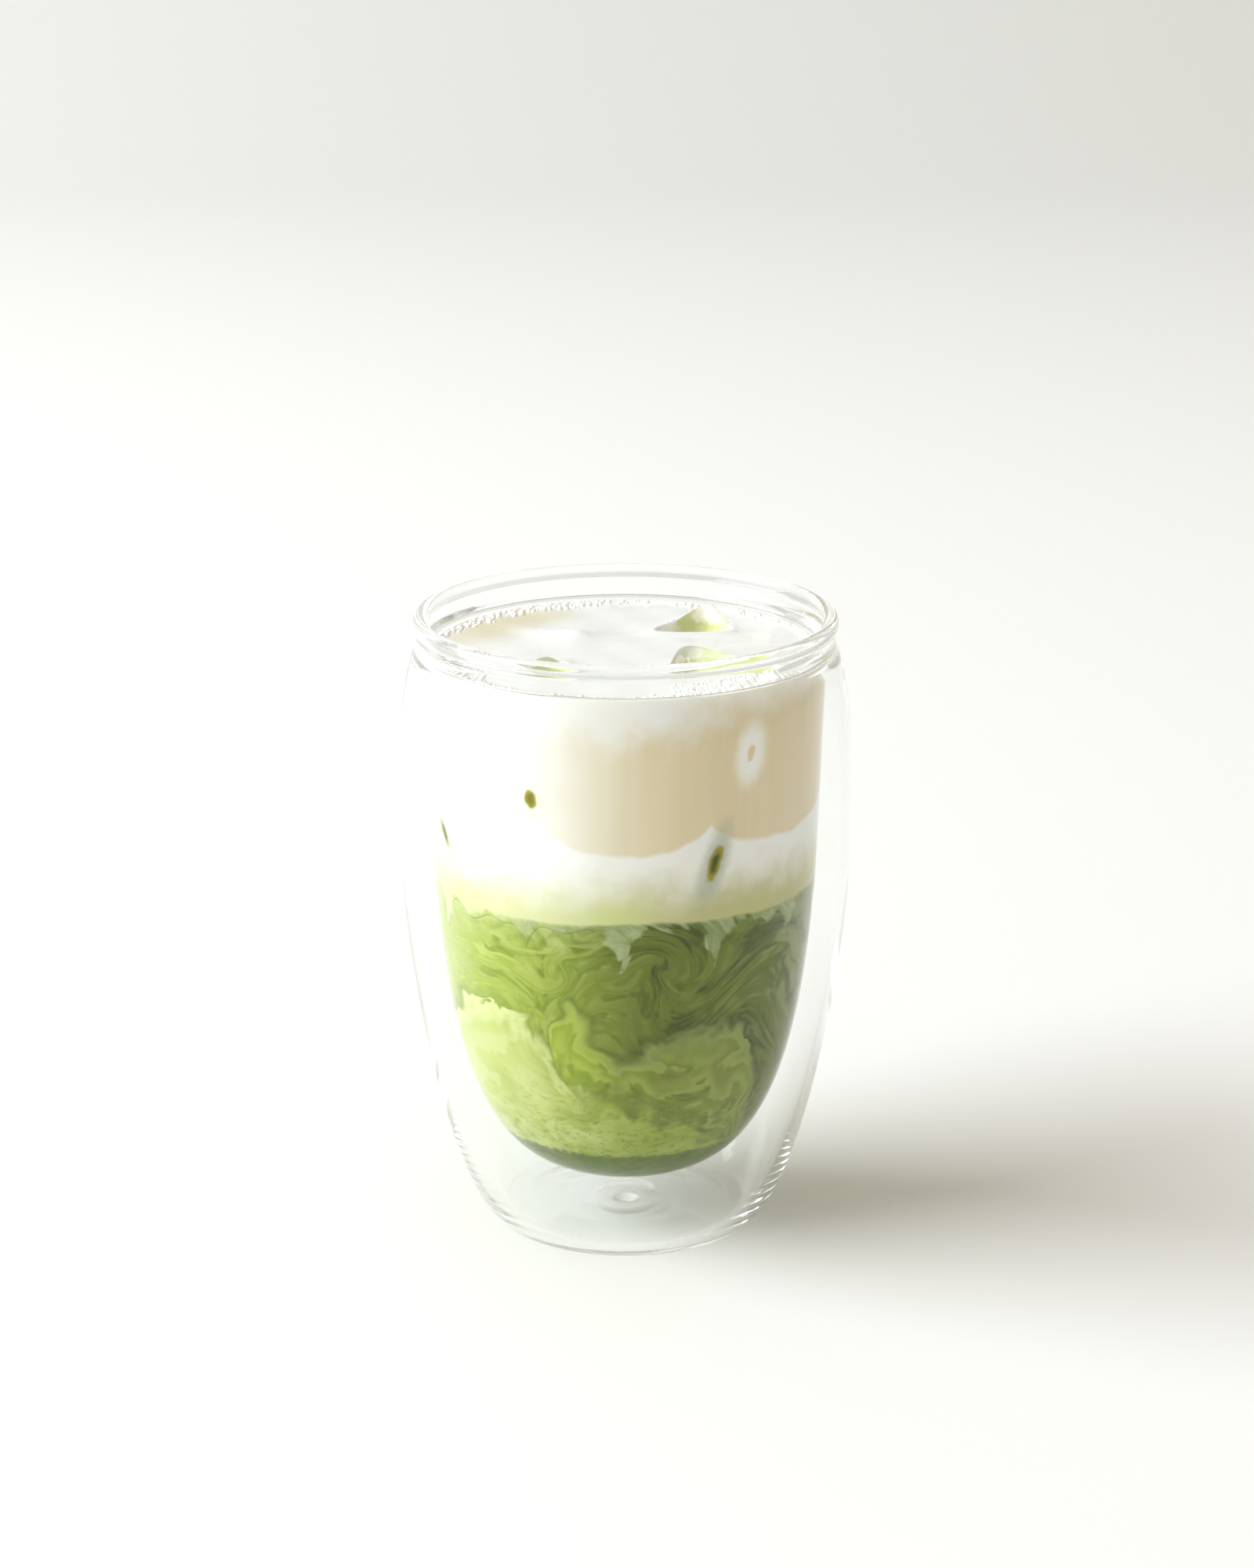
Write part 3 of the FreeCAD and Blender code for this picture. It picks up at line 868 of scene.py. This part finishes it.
class Recipe:
    """A material whose graph is written with one general method, node, and a few short ones."""

    def __init__(self, name, home=None):
        self.owner = (bpy.data.materials if home is None else home).new(name)
        self.owner.use_nodes = True
        self.tree = self.owner.node_tree
        self.tree.nodes.clear()

    def node(self, kind, inputs=(), output=0, **options):
        """Adds a node. Inputs go by name in a dict, or in order in a list, and are Terms or values."""
        made = self.tree.nodes.new("ShaderNode" + kind)
        for key, value in options.items():
            setattr(made, key, value)
        sockets = [socket for socket in made.inputs if socket.enabled]
        named = {socket.name: socket for socket in reversed(sockets)}
        pairs = inputs.items() if isinstance(inputs, dict) else enumerate(inputs)
        for key, value in pairs:
            socket = named[key] if isinstance(key, str) else sockets[key]
            if isinstance(value, Term):
                self.tree.links.new(value.socket, socket)
            elif socket.type == "RGBA":
                socket.default_value = (*value, 1.0)
            else:
                socket.default_value = value
        outputs = [socket for socket in made.outputs if socket.enabled]
        chosen = [socket for socket in outputs if output in (0, socket.name)]
        return Term(self, chosen[0] if chosen else None)

    def math(self, operation, *terms):
        """A Math node's result."""
        return self.node("Math", terms, operation=operation)

    def smooth(self, value, low, high, start=0.0, end=1.0):
        """Goes from start to end as value goes from low to high, along a smooth step."""
        return self.node("MapRange", [value, low, high, start, end], interpolation_type="SMOOTHSTEP")

    def noise(self, at, scale, detail=3.0, roughness=0.5, distortion=0.0):
        """Cloud noise spread over 0 to 1, at a place in millimetres, in waves per millimetre."""
        inputs = {"Vector": at, "Scale": scale, "Detail": detail, "Roughness": roughness,
                  "Distortion": distortion}
        return self.smooth(self.node("TexNoise", inputs), 0.3, 0.7)

    def billows(self, value, folds):
        """Bands that start sharply and fade slowly as value grows, as layers of cloud do."""
        band = self.math("FRACT", value * folds)
        return self.smooth(band, 0.0, 0.14) * self.smooth(band, 1.0, 0.1)

    def mix(self, factor, first, second):
        """A colour that goes from first to second."""
        return self.node("Mix", {"Factor": factor, "A": first, "B": second}, data_type="RGBA")

    def scaled(self, at, scale):
        """A place with each of its parts times a number, which stretches what is read there."""
        return self.node("VectorMath", [at, scale], operation="MULTIPLY")

    def attribute(self, name, output="Fac"):
        """A value that the mesh keeps on its points."""
        return self.node("Attribute", output=output, attribute_name=name)

    def millimetres(self, at=None):
        """A place in millimetres: the object's own coordinates, or an attribute that holds metres."""
        at = at or self.node("TexCoord", output="Object")
        return self.scaled(at, (1000.0, 1000.0, 1000.0))

    def apart(self, vector):
        """The three parts of a vector."""
        made = self.node("SeparateXYZ", [vector]).socket.node
        return [Term(self, socket) for socket in made.outputs]

    def finish(self, surface, output="OutputMaterial"):
        """Connects the surface to the graph's output and gives back what the graph belongs to."""
        self.node(output, {"Surface": surface})
        return self.owner

    def light_passes(self, surface, shade=(1.0, 1.0, 1.0)):
        """Lets shadow rays and bounced light go straight through, so that what is inside is lit."""
        for ray in ("Is Shadow Ray", "Is Diffuse Ray"):
            through = self.node("BsdfTransparent", {"Color": shade})
            share = self.node("LightPath", output=ray)
            surface = self.node("MixShader", [share, surface, through])
        return surface


def screen(red, green, blue):
    """A linear colour from the 0 to 255 values that it has on a screen."""
    return tuple((part / 255.0) ** 2.2 for part in (red, green, blue))


# %% [markdown]
# ## Glass and ice
#
# Clear glass bends and mirrors what the camera sees. For light on its way to the drink it is simply
# clear, which keeps the render free of noise. Ice does the same with a lower bending power and a
# slight green painted into it, a painted reflection of the drink around it.

# %% Glass and ice
GLASS_TINT, GLASS_SHADE = (0.984, 0.992, 0.986), (0.994, 0.994, 0.993)
GLASS_MIRROR = (0.25, 0.25, 0.25)   # strength of the plain reflection, which would veil the drink
# Painted reflection: the ice's green-yellow tint stands for the drink it mirrors
PAINTED_ICE_GREEN = (0.93, 0.95, 0.84)


def glass_material():
    """Clear glass, with the weak plain reflection of a thin clean wall."""
    recipe = Recipe("clear_glass")
    surface = recipe.node("BsdfPrincipled", {
        "Base Color": GLASS_TINT, "Roughness": 0.0, "IOR": 1.47, "Transmission Weight": 1.0,
        "Specular Tint": GLASS_MIRROR})
    return recipe.finish(recipe.light_passes(surface, GLASS_SHADE))


def ice_material():
    """Clear ice whose melting leaves shallow dents in it."""
    recipe = Recipe("ice")
    at = recipe.millimetres()
    dents = recipe.noise(at, 0.35, 2.0)
    bump = recipe.node("Bump", {"Height": dents, "Strength": 0.35, "Distance": 0.0004}, output="Normal")
    surface = recipe.node("BsdfPrincipled", {
        "Base Color": PAINTED_ICE_GREEN, "Roughness": 0.03, "IOR": 1.31, "Transmission Weight": 1.0,
        "Normal": bump})
    return recipe.finish(recipe.light_passes(surface))


# %% [markdown]
# ## The drink's colours
#
# One recipe paints both liquids, so that they agree along their border. It is written in the steps that
# follow, each a function that lays one thing over what is there. Two small ones come first: windows in
# which ice touches the glass, and a cloud with a rim and a shadow.

# %% The drink's colours
# Compass angle, height, half width, half height, tilt in degrees and darkness of each ice window; a
# darkness of 0 paints a bright ring of light through the ice instead
ICE_WINDOWS = [
    (-118.0, 98.0, 1.15, 1.7, -8.0, 0.35),
    (-63.4, 85.1, 1.2, 3.7, 18.0, 1.0),
    (-157.0, 85.6, 0.9, 2.7, -40.0, 0.9),
    (-52.0, 106.0, 1.5, 2.7, 6.0, 0.0),
    (96.0, 101.0, 1.3, 2.6, 12.0, 0.8),
    (28.0, 90.0, 1.0, 2.8, -15.0, 0.9),
    (150.0, 94.0, 1.2, 1.8, 20.0, 0.8),
]
WINDOW_DEPTH = 6.0      # half depth, more than enough to reach through the drink's skin


def ice_windows(recipe, at, colour):
    """Paints each window: a pale halo, an olive rim and a dark middle, or, where its darkness is 0, a
    white ring of painted light where light comes through the ice.

    A Mapping node turns and scales space so that the window is a ball of radius 1 round its middle.
    """
    for azimuth, height, half_width, half_height, tilt, darkness in ICE_WINDOWS:
        turn = math.radians(azimuth)
        out = float(wall_radius(height))
        away = recipe.node("Mapping", {
            "Vector": at,
            "Location": (out * math.cos(turn), out * math.sin(turn), height),
            "Rotation": (0.0, math.radians(tilt), turn + math.pi / 2.0),
            "Scale": (half_width, WINDOW_DEPTH, half_height)}, vector_type="TEXTURE")
        far = recipe.node("VectorMath", [away], operation="LENGTH", output="Value")
        far = far + (recipe.noise(at, 0.7) - 0.5) * 0.25
        if darkness > 0.0:
            colour = recipe.mix(recipe.smooth(far, 3.2, 0.9, 0.0, 0.75 * darkness), colour,
                                screen(176, 186, 164))
            colour = recipe.mix(recipe.smooth(far, 1.25, 0.8), colour, screen(164, 152, 40))
            colour = recipe.mix(recipe.smooth(far, 0.85, 0.3, 0.0, 0.3 + 0.7 * darkness), colour,
                                screen(78, 92, 34))
        else:
            # Painted light: a bright ring where light comes through the ice, round a tan middle
            colour = recipe.mix(recipe.smooth(far, 3.2, 1.1), colour, screen(255, 254, 248))
            colour = recipe.mix(recipe.smooth(far, 0.75, 0.4, 0.0, 0.8), colour, screen(228, 206, 160))
    return colour


def pale_cloud(recipe, behind, edge, softness, inner, rim, shadow):
    """Lays a cloud over a colour: a painted shadow above its edge, a bright rim of painted light along it
    and its own colour below.
    """
    behind = recipe.mix(recipe.smooth(edge, 4.5, 0.0, 0.0, 0.75), behind, shadow)
    cloud = recipe.mix(recipe.smooth(edge, -5.0, 0.0), inner, rim)
    return recipe.mix(recipe.smooth(edge / softness, 0.5, -0.5), behind, cloud)


print(f"{len(ICE_WINDOWS)} windows of ice")

# %% [markdown]
# ### What the painting starts from
#
# Several steps read the same places and the same noises, so these are made once. The pattern of the
# matcha is read at the place where its liquid came from, which stirs it. The stretch along Z draws it
# out into level streaks first.

# %% What the painting starts from
def drink_grounds(recipe):
    """Places, distances and noises that the milk and the matcha share."""
    at = recipe.millimetres()
    x, _, z = recipe.apart(at)
    came_from = recipe.millimetres(recipe.attribute("stirred", "Vector"))
    level = recipe.scaled(came_from, (1.0, 1.0, 2.0))
    streaks = recipe.noise(recipe.scaled(came_from, (1.0, 1.0, 2.2)), 0.05, 6.0, 0.55, 1.2)
    # Painted shade and light: the shared greens are painted darker and greyer to the right, away from the
    # window, and brighter to the left
    right = recipe.smooth(x + (streaks - 0.5) * 12.0, -26.0, 8.0)
    return SimpleNamespace(
        at=at, x=x, z=z, came_from=came_from, streaks=streaks, right=right,
        above=recipe.attribute("above"), curds=recipe.noise(at, 0.16, 4.0, 0.6),
        wisps=recipe.noise(level, 0.13, 5.0, 0.52, 1.2), fine=recipe.noise(level, 0.4, 4.0, 0.55, 1.0),
        dark=recipe.mix(right, screen(114, 138, 26), screen(58, 72, 6)),
        light=recipe.mix(right, screen(172, 190, 74), screen(112, 128, 34)),
        pale=recipe.mix(right, screen(194, 208, 112), screen(132, 148, 70)))


# %% [markdown]
# ### Milk
#
# Milk is nearly white, and every mark on it has a soft, curdled edge: the painted tan shade with its faint
# upright threads on the side away from the window, the green that the matcha sends up into it, and clear
# ice seen from above. The open top is painted a little greyer, a painted shade.

# %% Milk
def milk_colour(recipe, drink):
    """White milk with its painted tan shade, the green near the layer, a painted greyer top, the tan
    crescent and the ice.
    """
    x, z, above, grain = drink.x, drink.z, drink.above, drink.curds - 0.5
    milk = recipe.mix(recipe.noise(drink.at, 0.05, 2.0), screen(251, 252, 249), screen(246, 246, 240))

    # Painted shade: tan above the scalloped edge, on the side away from the window
    tan = recipe.smooth(recipe.attribute("tan") + grain * 0.8, -0.5, 0.8)
    tan = tan * recipe.attribute("painted_shade_side")
    tan = tan * recipe.smooth(z + grain * 4.0 - recipe.smooth(x, 4.0, 26.0) * 5.0, 116.5, 106.0)
    threads = recipe.noise(recipe.scaled(drink.at, (1.0, 1.0, 0.03)), 0.5, 3.0, 0.6)
    # Painted shade: the tan is warmer and darker towards the right
    shade = recipe.mix(recipe.smooth(x, -18.0, 16.0), screen(228, 221, 194), screen(231, 216, 180))
    milk = recipe.mix(tan, milk, recipe.mix(threads * 0.3, shade, screen(239, 229, 204)))

    # Painted shade: the green near the layer is darker on the right
    tint = recipe.mix(recipe.smooth(x, -20.0, 25.0), screen(213, 217, 154), screen(186, 183, 116))
    milk = recipe.mix(recipe.smooth(above + grain * 3.0, 14.0, 1.0, 0.0, 0.88), milk, tint)
    blush = recipe.attribute("blush") * recipe.smooth(above + grain * 2.0, 8.0, 2.0)
    milk = recipe.mix(blush * 0.6, milk, screen(206, 216, 138))

    # Painted shade: the open top of the milk is painted a little greyer
    milk = recipe.mix(recipe.attribute("open_surface") * 0.7, milk, screen(230, 233, 233))
    milk = recipe.mix(recipe.attribute("crescent") * 0.85, milk, screen(212, 202, 160))
    in_ice = recipe.attribute("in_ice") + grain * 0.2
    milk = recipe.mix(recipe.smooth(in_ice, 0.12, 0.4, 0.0, 0.85), milk, screen(196, 203, 132))
    milk = recipe.mix(recipe.smooth(in_ice, 0.4, 0.8, 0.0, 0.8), milk, screen(228, 231, 200))
    return ice_windows(recipe, drink.at, milk)


# %% [markdown]
# ### Matcha
#
# The green is painted brightest at the left, where the window lights it, and painted darker and greyer
# to the right, a painted shade. Streaks, folds and wisps go from dark to pale in it. It is painted paler
# still at the far left, partly painted light and partly pale milk, a grey haze at the right is a painted
# reflection of the glass, and just under the milk, milk hazes it.

# %% Matcha
def matcha_colour(recipe, drink):
    """Green with stirred streaks, painted paler at the far left and greyer at the right, and hazed just
    under the milk.
    """
    x, wisps, pale = drink.x, drink.wisps, drink.pale
    folds = recipe.billows(drink.streaks + wisps * 0.25, 2.2)
    matcha = recipe.mix(drink.streaks, drink.dark, drink.light)
    matcha = recipe.mix(folds * 0.35, matcha, pale)
    matcha = recipe.mix(recipe.smooth(wisps, 0.6, 1.0, 0.0, 0.4), matcha, pale)
    matcha = recipe.mix(recipe.smooth(wisps, 0.4, 0.0, 0.0, 0.6), matcha, drink.dark)
    matcha = recipe.mix(recipe.smooth(drink.fine, 0.5, 1.0, 0.0, 0.3), matcha, drink.light)

    # Painted light at the far left, partly pale milk, and a painted grey reflection haze high up at the
    # right
    ragged_x = x + (wisps - 0.5) * 8.0
    matcha = recipe.mix(recipe.smooth(ragged_x, -26.0, -38.0, 0.0, 0.6), matcha, screen(194, 204, 138))
    haze = recipe.smooth(ragged_x, 25.0, 36.0, 0.0, 0.6) * recipe.smooth(drink.z, 40.0, 56.0)
    matcha = recipe.mix(haze, matcha, screen(150, 162, 110))
    haze = recipe.smooth(drink.above + (wisps - 0.5) * 7.0, -8.0, 1.0, 0.0, 0.5)
    haze = haze * recipe.smooth(x, 0.0, -16.0)
    return recipe.mix(haze, matcha, screen(198, 210, 142))


# %% [markdown]
# ### Clouds in the matcha
#
# Two pale clouds rise from below, the nearer one brighter. Each has a curled edge that is sharp in
# some places and soft in others, layers that follow the edge as in a billow, and a shadow above it.
# Low down the powder shows as grains, and at the very bottom it has settled into a dark cap.

# %% Clouds in the matcha
def with_clouds(recipe, drink, matcha):
    """Lays the far cloud, the near cloud, the grains and the settled cap over the matcha."""
    at, x, z, right = drink.at, drink.x, drink.z, drink.right
    streaks, wisps, dark, light = drink.streaks, drink.wisps, drink.dark, drink.light
    softness = recipe.smooth(recipe.noise(at, 0.08, 2.0), 0.15, 0.85, 0.7, 5.0)
    softness = softness + recipe.smooth(z, 44.0, 34.0) * 5.0
    curl = (recipe.noise(at, 0.12, 3.0, 0.45, 1.0) - 0.5) * 4.0 + (wisps - 0.5) * 0.8
    drift = recipe.noise(recipe.scaled(at, (1.0, 1.0, 1.6)), 0.05, 2.0, 0.4, 0.7)

    edge = recipe.attribute("far_cloud") + curl
    layers = recipe.billows(edge * 0.08 + drift + wisps * 0.12, 1.7)
    # Painted shade: the far cloud's colours are darker and greyer to the right, away from the window
    inner = recipe.mix(right, screen(160, 184, 50), screen(122, 136, 52))
    inner = recipe.mix(recipe.smooth(wisps, 0.5, 0.0, 0.0, 0.55), inner, recipe.mix(0.35, dark, light))
    crest = recipe.mix(right, screen(188, 206, 88), screen(158, 174, 84))
    rim = recipe.mix(right, screen(186, 206, 80), screen(140, 156, 84))
    matcha = pale_cloud(recipe, matcha, edge, softness, recipe.mix(layers * 0.65, inner, crest), rim, dark)

    edge = recipe.attribute("near_cloud") + curl
    layers = recipe.billows(edge * 0.05 + drift + wisps * 0.05, 1.3)
    # Painted light: the near cloud and its rim are brighter towards the left, where the window falls
    inner = recipe.mix(recipe.smooth(x + (streaks - 0.5) * 14.0, -28.0, 4.0),
                       screen(188, 200, 112), screen(140, 160, 56))
    crest = recipe.mix(right, screen(206, 216, 150), screen(166, 182, 88))
    inner = recipe.mix(layers * 0.55, inner, crest)
    rim = recipe.mix(recipe.smooth(x, -24.0, -4.0), screen(210, 220, 150), inner)
    shadow = recipe.mix(0.25, dark, light)
    matcha = pale_cloud(recipe, matcha, edge, softness * 0.8, inner, rim, shadow)

    grains = recipe.noise(recipe.scaled(at, (1.0, 1.0, 1.7)), 0.6, 5.0, 0.7, 0.6)
    low = recipe.smooth(z + (streaks - 0.5) * 9.0, 42.0, 30.0)
    matcha = recipe.mix(recipe.smooth(grains, 0.6, 1.0) * low * 0.45, matcha, dark)
    # Painted shade: the pale grains are greyer to the right
    matcha = recipe.mix(recipe.smooth(grains, 0.4, 0.0) * low * 0.4, matcha,
                        recipe.mix(right, screen(206, 220, 120), screen(156, 172, 92)))
    cap = recipe.smooth(z + (grains - 0.5) * 1.6, 22.6, 21.6, 0.0, 0.85)
    return recipe.mix(cap, matcha, recipe.mix(drink.fine, screen(56, 78, 6), screen(86, 108, 26)))


# %% [markdown]
# ### Tongues and the whole drink
#
# Tongues of thinned milk hang in front of the matcha, with feathered edges. Above the border all is
# milk and below it all is matcha, whichever of the two pieces the point is on.

# %% Tongues and the whole drink
def with_tongues(recipe, drink, matcha):
    """Lays the hanging tongues over the matcha, painted brighter at the left, where the window falls."""
    feathers = recipe.noise(recipe.scaled(drink.came_from, (1.0, 1.0, 0.45)), 0.42, 5.0, 0.62, 0.8)
    hang = recipe.attribute("over_edge") + (feathers - 0.5) * 1.8 + (drink.fine - 0.5) * 0.8
    milky = recipe.mix(feathers, screen(132, 150, 92), screen(184, 196, 150))
    # Painted light: brighter towards the left
    milky = recipe.mix(recipe.smooth(drink.x, -12.0, -30.0), milky, screen(214, 224, 168))
    return recipe.mix(recipe.smooth(hang, -0.3, 1.4, 0.0, 0.8), matcha, milky)


def drink_colour(recipe):
    """The colour of milk and matcha at any point of either."""
    drink = drink_grounds(recipe)
    matcha = with_clouds(recipe, drink, matcha_colour(recipe, drink))
    matcha = with_tongues(recipe, drink, matcha)
    border = recipe.smooth(drink.above + (drink.wisps - 0.5) * 0.5, 0.0, 0.9)
    return recipe.mix(border, matcha, milk_colour(recipe, drink))


# %% [markdown]
# ## Dressing the pieces
#
# The drink shines only where it is open to the air: where it wets the glass there is no surface of
# its own to mirror anything. Each piece then gets its material and rides on the object's one body, and
# the piece of the frame it stands for is hidden.

# %% Dressing the pieces
def drink_material(name, softness):
    """A liquid that shines on its open surface and not where it wets the glass."""
    recipe = Recipe(name)
    surface = recipe.node("BsdfPrincipled", {
        "Base Color": drink_colour(recipe), "Roughness": 0.35, "Specular IOR Level": 0.1,
        "Subsurface Weight": softness, "Subsurface Radius": (1.0, 0.9, 0.7), "Subsurface Scale": 0.0012,
        "Coat Weight": recipe.attribute("open_surface"), "Coat Roughness": 0.08, "Coat IOR": 1.34})
    return recipe.finish(surface)


def foam_material():
    """Bubbles of milk: white and shiny, and a little clear."""
    recipe = Recipe("foam")
    surface = recipe.node("BsdfPrincipled", {
        "Base Color": screen(254, 254, 251), "Roughness": 0.15, "IOR": 1.34,
        "Transmission Weight": 0.1, "Subsurface Weight": 0.3, "Subsurface Scale": 0.0005})
    return recipe.finish(recipe.light_passes(surface))


def dress(piece, material, slot, *nodes):
    """Gives a piece its material and lets it stand for frame nodes, which it hides; the slot is not used.
    """
    piece.data.materials.clear()
    piece.data.materials.append(material)
    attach(piece, "root")
    if nodes:
        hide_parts(*nodes)


ice_look = ice_material()
dress(tumbler, glass_material(), "clear_glass", "glass")
dress(milk_layer, drink_material("milk", 0.35), "milk", "milk")
dress(matcha_layer, drink_material("matcha", 0.0), "matcha", "matcha")
dress(foam, foam_material(), "milk")
for name, piece in ice_pieces.items():
    dress(piece, ice_look, "ice", name)
print("materials:", sorted(material.name for material in bpy.data.materials))

# %% [markdown]
# ## Stage
#
# The glass stands on a pale sweep: a floor that turns up into a wall without an edge. It also reaches
# far to the front, because clear glass mirrors it, and an edge would show in the drink as a line. It
# is a little darker far away, which gives clear glass something to be seen against.

# %% Stage
FLOOR_FRONT, FLOOR_BACK, FLOOR_SIDE, WALL_TOP = -7000.0, 1500.0, 4000.0, 3500.0
SWEEP_RADIUS = 900.0
PAPER_NEAR, PAPER_FAR = (0.89, 0.893, 0.893), (0.74, 0.745, 0.735)
PAPER_FADE = (250.0, 2300.0)


def sweep_mesh():
    """A floor that turns up into a wall behind the glass through a quarter circle."""
    bend = np.radians(np.linspace(0.0, 90.0, 24))
    y = np.concatenate([[FLOOR_FRONT], FLOOR_BACK + SWEEP_RADIUS * np.sin(bend),
                        [FLOOR_BACK + SWEEP_RADIUS]])
    z = np.concatenate([[0.0], SWEEP_RADIUS - SWEEP_RADIUS * np.cos(bend), [WALL_TOP]])
    x = np.array([-FLOOR_SIDE, FLOOR_SIDE])
    points = np.stack(np.broadcast_arrays(x[None, :], y[:, None], z[:, None]), -1).reshape(-1, 3)
    first = 2 * np.arange(len(y) - 1)
    return make_piece("sweep", points, np.stack([first, first + 1, first + 3, first + 2], -1).tolist())


def sweep_material():
    """Matt paper, a little darker far in front and far behind."""
    recipe = Recipe("paper")
    _, back, _ = recipe.apart(recipe.millimetres())
    far = recipe.smooth(recipe.math("ABSOLUTE", back), *PAPER_FADE)
    surface = recipe.node("BsdfDiffuse", {"Color": recipe.mix(far, PAPER_NEAR, PAPER_FAR)})
    return recipe.finish(surface)


sweep = sweep_mesh()
sweep.data.materials.append(sweep_material())

# %% [markdown]
# ## Light
#
# One large soft window lights the drink from the left. The room does the rest: it alone lights the
# shaded side, and because it is warm and dim low down, it warms the milk's right side, where a tan
# shade is also painted, and gives the shadow its brown.

# %% Light
WINDOW_AZIMUTH = -173.5
WINDOW_ELEVATION = 34.0
WINDOW_DISTANCE = 3.0   # metres from the middle of the drink
WINDOW_TARGET = (0.0, 0.0, 0.07)
WINDOW_SIZE = (2.6, 1.9)
WINDOW_WATTS = 129.0
WINDOW_COLOUR = (0.91, 0.955, 1.0)
ROOM_DARK = (0.12, 0.108, 0.088)
ROOM_LIGHT = (0.53, 0.485, 0.405)


def window_light():
    """A soft area light that faces the glass from the left."""
    light = bpy.data.lights.new("window", "AREA")
    light.shape, (light.size, light.size_y) = "RECTANGLE", WINDOW_SIZE
    light.energy, light.color = WINDOW_WATTS, WINDOW_COLOUR
    lamp = bpy.data.objects.new("window", light)
    turn, rise = math.radians(WINDOW_AZIMUTH), math.radians(WINDOW_ELEVATION)
    way = Vector((math.cos(turn) * math.cos(rise), math.sin(turn) * math.cos(rise), math.sin(rise)))
    lamp.location = WINDOW_DISTANCE * way + Vector(WINDOW_TARGET)
    lamp.rotation_euler = way.to_track_quat("Z", "Y").to_euler()
    bpy.context.scene.collection.objects.link(lamp)


def room_light():
    """A warm room, darkest low down in front and on the right, and lighter above and behind."""
    recipe = Recipe("room", bpy.data.worlds)
    across, back, up = recipe.apart(recipe.node("TexCoord", output="Generated"))
    lightness = recipe.smooth(back * 0.35 - across * 0.4 + up * 1.2, -0.7, 0.05)
    colour = recipe.mix(lightness, ROOM_DARK, ROOM_LIGHT)
    bpy.context.scene.world = recipe.finish(
        recipe.node("Background", {"Color": colour, "Strength": 1.0}), "OutputWorld")


window_light()
room_light()
print(f"window: {WINDOW_WATTS:.0f} W, {WINDOW_DISTANCE:.0f} m away")

# %% [markdown]
# ## Camera and ray limits
#
# A long lens keeps the glass's sides nearly parallel. Light can run round inside the rim and the walls
# for hundreds of turns before it leaves, and a path that is cut off shows black, so the limits are
# high. They cost little, because few paths are that long.

# %% Camera and ray limits
LENS, SENSOR_WIDTH, CLIP_START = 85.0, 36.0, 0.01
CAMERA_AT = (0.00029, -0.7049, 0.3057)
CAMERA_DOWN = 16.967
GLASS_BOUNCES = 1000


def front_camera():
    """An 85 mm lens about 0.77 m from the glass that looks 17 degrees down at it."""
    camera = bpy.data.cameras.new("camera")
    camera.lens, camera.sensor_width, camera.clip_start = LENS, SENSOR_WIDTH, CLIP_START
    eye = bpy.data.objects.new("camera", camera)
    eye.location = CAMERA_AT
    eye.rotation_euler = (math.radians(90.0 - CAMERA_DOWN), 0.0, 0.0)
    bpy.context.scene.collection.objects.link(eye)
    bpy.context.scene.camera = eye


front_camera()
scene = bpy.context.scene
scene.view_settings.view_transform = "Standard"
scene.cycles.use_denoising = True
scene.cycles.max_bounces = GLASS_BOUNCES
scene.cycles.transmission_bounces = scene.cycles.glossy_bounces = GLASS_BOUNCES
scene.cycles.transparent_max_bounces = 32
scene.cycles.diffuse_bounces = 4
scene.cycles.caustics_reflective = scene.cycles.caustics_refractive = False
print(f"camera: {LENS:.0f} mm lens, {CAMERA_DOWN:.0f} degrees down")
